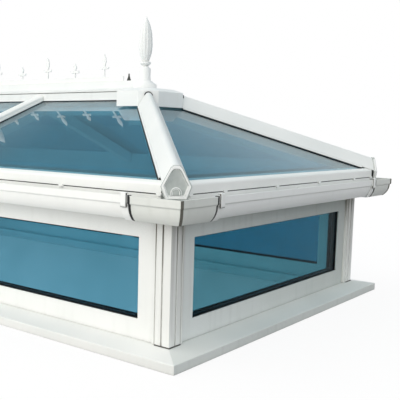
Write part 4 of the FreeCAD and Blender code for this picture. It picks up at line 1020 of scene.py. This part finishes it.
# Distance out from the nose and height, in millimetres, and angles in degrees
OGEE_LIP = [(35, 503), (35, 482), (30, 477)]
OGEE_CENTRE = (-32, 475.6)
OGEE_RADIUS = 62
OGEE_START = 1.3
OGEE_SWEEP = 49
OGEE_STEPS = 10
corner_ogee = list(OGEE_LIP)
for step in range(1, OGEE_STEPS + 1):
    angle = math.radians(OGEE_START - OGEE_SWEEP * step / OGEE_STEPS)
    corner_ogee.append((OGEE_CENTRE[0] + OGEE_RADIUS * math.cos(angle),
                        OGEE_CENTRE[1] + OGEE_RADIUS * math.sin(angle)))


def ogee_band(skin, wide, point_at):
    """A thin band along the ogee. A point comes from reach, out, height and place across the band."""
    rings = []
    for out, height in corner_ogee:
        reach = out * MM + BAND_PROUD
        rings.append([point_at(reach - deep, out * MM, height * MM, across) for deep, across in (
            (0, 0), (0, wide), (BAND_DEEP, wide), (BAND_DEEP, 0))])
    loft(skin, rings)


print("ogee with", len(corner_ogee), "points")

# %% Painted shadow along the mitres
MITRE_WIDE = 13 * MM
ROUND_OFF = 1.5 * MM
skin = bmesh.new()
for x_way, y_way in CORNERS:
    ogee_band(skin, MITRE_WIDE, lambda reach, out, height, across: Vector((
        x_way * (nose.x + reach), y_way * (nose.y + out - ROUND_OFF - across), height)))
add_piece("gutter_mitre_painted_shadow", skin, mitre_shadow, "black_epdm")

# %% Seal lips
SEAL_WIDE = 6 * MM
LIP_WIDE = 4.5 * MM
skin = bmesh.new()
for side in SIDES:
    for end in (-1, 1):
        ogee_band(skin, LIP_WIDE, lambda reach, out, height, across: on_side(
            side, end * (run_end[side] + SEAL_WIDE + across), nose_out[side] + reach, height))
add_piece("gutter_seal_lips", skin, rubber_and_shadow, "black_epdm")

# %% [markdown]
# A bell-shaped bolt near each end of the ridge pulls the cap down. A modifier could spin its outline,
# but rings about an upright axis need none: one radius and one height for each ring. The finials are
# turned in the same way, with a radius that changes round the ring.

# %% Ridge bolts
BOLT_FROM_MIDDLE = 510 * MM
BOLT_STEPS = 24
# Radius and height over the ridge, in millimetres
BOLT_PROFILE = [(9, 0), (9, 2.5), (8, 6), (6, 11), (4.4, 17), (3.2, 21), (3, 28), (2.2, 30), (0.8, 31)]
ridge_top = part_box("cresting")[0][2]


def turned_ring(middle, height, steps, reach_at):
    """A ring about an upright axis that stands along the ridge. The angle gives its radius."""
    ring = []
    for step in range(steps):
        angle = 2 * math.pi * step / steps
        reach = reach_at(angle)
        ring.append(Vector((middle + reach * math.cos(angle), reach * math.sin(angle), height)))
    return ring


skin = bmesh.new()
for end in (-1, 1):
    rings = []
    for radius, height in BOLT_PROFILE:
        rings.append(turned_ring(
            end * BOLT_FROM_MIDDLE, ridge_top + height * MM, BOLT_STEPS, lambda angle: radius * MM))
    loft(skin, rings)
add_piece("ridge_bolts", skin, sealant_and_shadow, "black_epdm", smooth=True)

# %% [markdown]
# The finials have shallow flutes down the bud, which catch the light as thin stripes. A bump in the
# material would leave the outline smooth, so the finials are turned again with real flutes: the
# radius of each ring swells and sinks twelve times round. They take the place of the smooth solid.

# %% Outline of the finials
# Radius and height over the foot, in millimetres
FINIAL_BASE = 50
FINIAL_FOOT = [
    (FINIAL_BASE, 0), (FINIAL_BASE, 19), (49.3, 20), (23.4, 37.6), (23, 38.5), (23, 85), (22.4, 86.4),
    (11.6, 95.6), (11, 96.6), (11.6, 97), (22.4, 105.2), (23, 106), (23, 113.4), (22.4, 114), (13, 114.4)]
BUD_FOOT = (13, 114.4)
BUD_BELLY = (28, 200)
BUD_TIP = (2, 298)
BUD_POINT = (0.8, 299.2)
LOWER_BOW = 150
UPPER_BOW = 190


def bow(start, end, radius, steps):
    """Points on the arc from start to end that bulges outward, without its first point."""
    start, end = Vector(start), Vector(end)
    chord = end - start
    inward = Vector((-chord.y, chord.x)).normalized()
    centre = (start + end) / 2 + inward * math.sqrt(radius ** 2 - (chord.length / 2) ** 2)
    first = math.atan2(*(start - centre).yx)
    sweep = 2 * math.asin(chord.length / 2 / radius)
    points = []
    for step in range(1, steps + 1):
        angle = first + sweep * step / steps
        points.append(centre + radius * Vector((math.cos(angle), math.sin(angle))))
    return points


bud = bow(BUD_FOOT, BUD_BELLY, LOWER_BOW, steps=14) + bow(BUD_BELLY, BUD_TIP, UPPER_BOW, steps=18)
finial_profile = FINIAL_FOOT + [(point.x, point.y) for point in bud] + [BUD_POINT]
print("finial outline with", len(finial_profile), "points")

# %% Fluted finials
FLUTES = 12
FLUTE_STEPS = 96
FLUTE_DEPTH = 0.07
# A flute is at full depth where the product of its distances from foot and tip is this, in square mm
FULL_FLUTE = 8000
SHARP_OVER = math.radians(32)
finial_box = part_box("finials")
finial_foot = finial_box[0][2]
finial_from_middle = finial_box[1][0] - FINIAL_BASE * MM
skin = bmesh.new()
for end in (-1, 1):
    rings = []
    for radius, height in finial_profile:
        share = max(0.0, (height - BUD_FOOT[1]) * (BUD_TIP[1] - height)) / FULL_FLUTE
        depth = FLUTE_DEPTH * min(1.0, share)
        rings.append(turned_ring(
            end * finial_from_middle, finial_foot + height * MM, FLUTE_STEPS,
            lambda angle: radius * MM * (1 - depth * (0.5 - 0.5 * math.cos(FLUTES * angle)))))
    loft(skin, rings)
finials = add_piece("fluted_finials", skin, moulded_upvc, "white_upvc", smooth=True)
finials.data.set_sharp_from_angle(angle=SHARP_OVER)
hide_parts("finials")

# %% [markdown]
# Where a hip cap runs into its hub, a black band of painted shadow follows the cap's round crown, for
# the gap there that lies in shade. Half a torus has a round section, and this band is flat, so a
# small oblong section is led round the crown instead.

# %% Painted shadow at the hubs
SLOPE = math.tan(math.radians(22.5))
EAVE = 528 * MM
HUB_INSET = 639 * MM
HUB_SLACK = 0.3 * MM
CROWN_CENTRE = 36.8 * MM
HUB_SHADOW_INNER = 14.6 * MM
HUB_SHADOW_OUTER = 17.4 * MM
HUB_SHADOW_LONG = 5 * MM
HUB_SHADOW_STEPS = 20
HUB_SHADOW_START = 12
HUB_SHADOW_SWEEP = 156
HUB_SHADOW_SECTION = ((HUB_SHADOW_INNER, 0), (HUB_SHADOW_OUTER, 0), (HUB_SHADOW_OUTER, HUB_SHADOW_LONG), (HUB_SHADOW_INNER, HUB_SHADOW_LONG))
skin = bmesh.new()
for x_way, y_way in CORNERS:
    rings = []
    for step in range(HUB_SHADOW_STEPS + 1):
        angle = math.radians(HUB_SHADOW_START + HUB_SHADOW_SWEEP * step / HUB_SHADOW_STEPS)
        ring = []
        for radius, inset in HUB_SHADOW_SECTION:
            across = radius * math.cos(angle) / math.sqrt(2)
            back = HUB_INSET - HUB_SLACK - inset
            ring.append(Vector((x_way * (nose.x - back + across), y_way * (nose.y - back - across),
                                EAVE + SLOPE * back + CROWN_CENTRE + radius * math.sin(angle))))
        rings.append(ring)
    loft(skin, rings)
add_piece("hub_painted_shadows", skin, rubber_and_shadow, "black_epdm")

# %% [markdown]
# Each cap on the roof ends in a thin white lip that hides most of its black gasket, so that only a
# fine black line shows along the glass. On the hips the gasket's foot also reaches out past the lip.
# The caps themselves can't be changed, so the lips are strips along their edges. The sections are given
# by the distance out from the cap's edge and the height over the glass, in millimetres.

# %% Sections of the cap lips
LIP_SECTION = [(0.1, 9), (3.8, 8.6), (4.9, 7.4), (4.9, 3.2), (4.15, 3.2), (4.15, 7.1), (0.1, 7.1)]
HIP_LIP_SECTION = [(0.1, 9), (3.8, 8.6), (4.9, 7.4), (4.9, 4.6), (4.15, 4.6), (4.15, 7.1), (0.1, 7.1)]
FOOT_SECTION = [(4.1, 0.2), (7.8, 0.2), (7.2, 1.2), (4.1, 1.8)]
HIP_HALF = 38 * MM
HIP_INSETS = (76.5 * MM, 638.5 * MM)


def over_glass(inset, rise):
    """A height from the distance in from the nose and the rise over the glass in millimetres."""
    return EAVE + SLOPE * inset + rise * MM


def along_hips(skin, section):
    """Run a section along both edges of the four hip caps."""
    for x_way, y_way in CORNERS:
        for turn in (-1, 1):
            rings = []
            for inset in HIP_INSETS:
                ring = []
                for out, rise in section:
                    aside = (HIP_HALF + out * MM) / math.sqrt(2)
                    ring.append(Vector((x_way * (nose.x - inset + turn * aside),
                                        y_way * (nose.y - inset - turn * aside),
                                        over_glass(inset - aside, rise))))
                rings.append(ring)
            loft(skin, rings)


print("glass at the nose", round(over_glass(0, 0), 3), "m up")

# %% Cap lips and gasket feet
BAR_HALF = 26 * MM
BAR_INSETS = (38.5 * MM, 692.5 * MM)
RIDGE_CAP_HALF = 52 * MM
RIDGE_CAP_RUN = (31.5 * MM, 565.5 * MM)
skin = bmesh.new()
for x_way, y_way in CORNERS:
    rings = []
    for inset in BAR_INSETS:
        ring = []
        for out, rise in LIP_SECTION:
            ring.append(Vector((x_way * (BAR_HALF + out * MM), y_way * (nose.y - inset),
                                over_glass(inset, rise))))
        rings.append(ring)
    loft(skin, rings)
    rings = []
    for along in RIDGE_CAP_RUN:
        ring = []
        for out, rise in LIP_SECTION:
            from_ridge = RIDGE_CAP_HALF + out * MM
            ring.append(Vector((x_way * along, y_way * from_ridge,
                                over_glass(nose.y - from_ridge, rise))))
        rings.append(ring)
    loft(skin, rings)
along_hips(skin, HIP_LIP_SECTION)
add_piece("cap_lips", skin, roof_upvc, "white_upvc")
skin = bmesh.new()
along_hips(skin, FOOT_SECTION)
add_piece("hip_gasket_feet", skin, rubber_and_shadow, "black_epdm")

# %% [markdown]
# A dark bead of painted shadow marks the gap under the foot of each post, over the sill. It runs round
# the outer corner of the post, along as much of its two faces as the ribs take up. A bevelled curve
# could do this, but three rings of one section give a clean mitre at the corner.

# %% Painted shadow at the post feet
# Distance out from the post and height over the sill, in millimetres
FOOT_SHADOW_SECTION = [(0.2, 0.2), (2.8, 0.2), (1.4, 2.2), (0.2, 3)]
FOOT_SHADOW_LONG = 56 * MM
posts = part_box("corner_posts")
post_out = Vector(posts[1])
post_foot = posts[0][2]
skin = bmesh.new()
for x_way, y_way in CORNERS:
    rings = [[], [], []]
    for out, rise in FOOT_SHADOW_SECTION:
        beyond_x = x_way * (post_out.x + out * MM)
        beyond_y = y_way * (post_out.y + out * MM)
        height = post_foot + rise * MM
        rings[0].append(Vector((x_way * (post_out.x - FOOT_SHADOW_LONG), beyond_y, height)))
        rings[1].append(Vector((beyond_x, beyond_y, height)))
        rings[2].append(Vector((beyond_x, y_way * (post_out.y - FOOT_SHADOW_LONG), height)))
    loft(skin, rings)
add_piece("post_foot_painted_shadows", skin, sealant_and_shadow, "black_epdm")

# %% [markdown]
# A black wedge gasket is pressed in between the inner pane and the bead, all round each window. It
# is what makes the dark border deep when a window is seen at a slant, and its black is also painted
# shade for the bead behind the glass. Four bars would leave gaps at the corners, so one section goes
# round the window and closes on itself.

# %% Wedge gaskets
WEDGE_DEEP = 14 * MM
WEDGE_TALL = 6 * MM
WEDGE_TOE = 3 * MM
WEDGE_SLACK = 0.2 * MM
WEDGE_SECTION = ((0, 0), (WEDGE_TALL, 0), (WEDGE_TOE, WEDGE_DEEP), (0, WEDGE_DEEP))
MULLION_HALF = 40 * MM
UNIT_HOLD = 12 * MM
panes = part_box("glass_front")
sight_low = panes[0][2] + UNIT_HOLD
sight_high = panes[1][2] - UNIT_HOLD
long_end = panes[1][0] - UNIT_HOLD
short_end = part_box("glass_ends")[1][1] - UNIT_HOLD
inner_inset = nose.y + panes[1][1]
skin = bmesh.new()
for side in SIDES:
    inner_face = nose_out[side] - inner_inset
    spans = ((-short_end, short_end),)
    if side in ("front", "back"):
        spans = ((-long_end, -MULLION_HALF), (MULLION_HALF, long_end))
    for start, stop in spans:
        rings = []
        for along, height, in_along, in_up in ((start, sight_low, 1, 1), (stop, sight_low, -1, 1),
                                               (stop, sight_high, -1, -1), (start, sight_high, 1, -1)):
            ring = []
            for reach, deep in WEDGE_SECTION:
                ring.append(on_side(side, along + in_along * reach, inner_face - WEDGE_SLACK - deep,
                                    height + in_up * reach))
            rings.append(ring)
        loft(skin, rings, endless=True)
add_piece("wedge_gaskets_and_painted_shade", skin, rubber_and_shadow, "black_epdm")
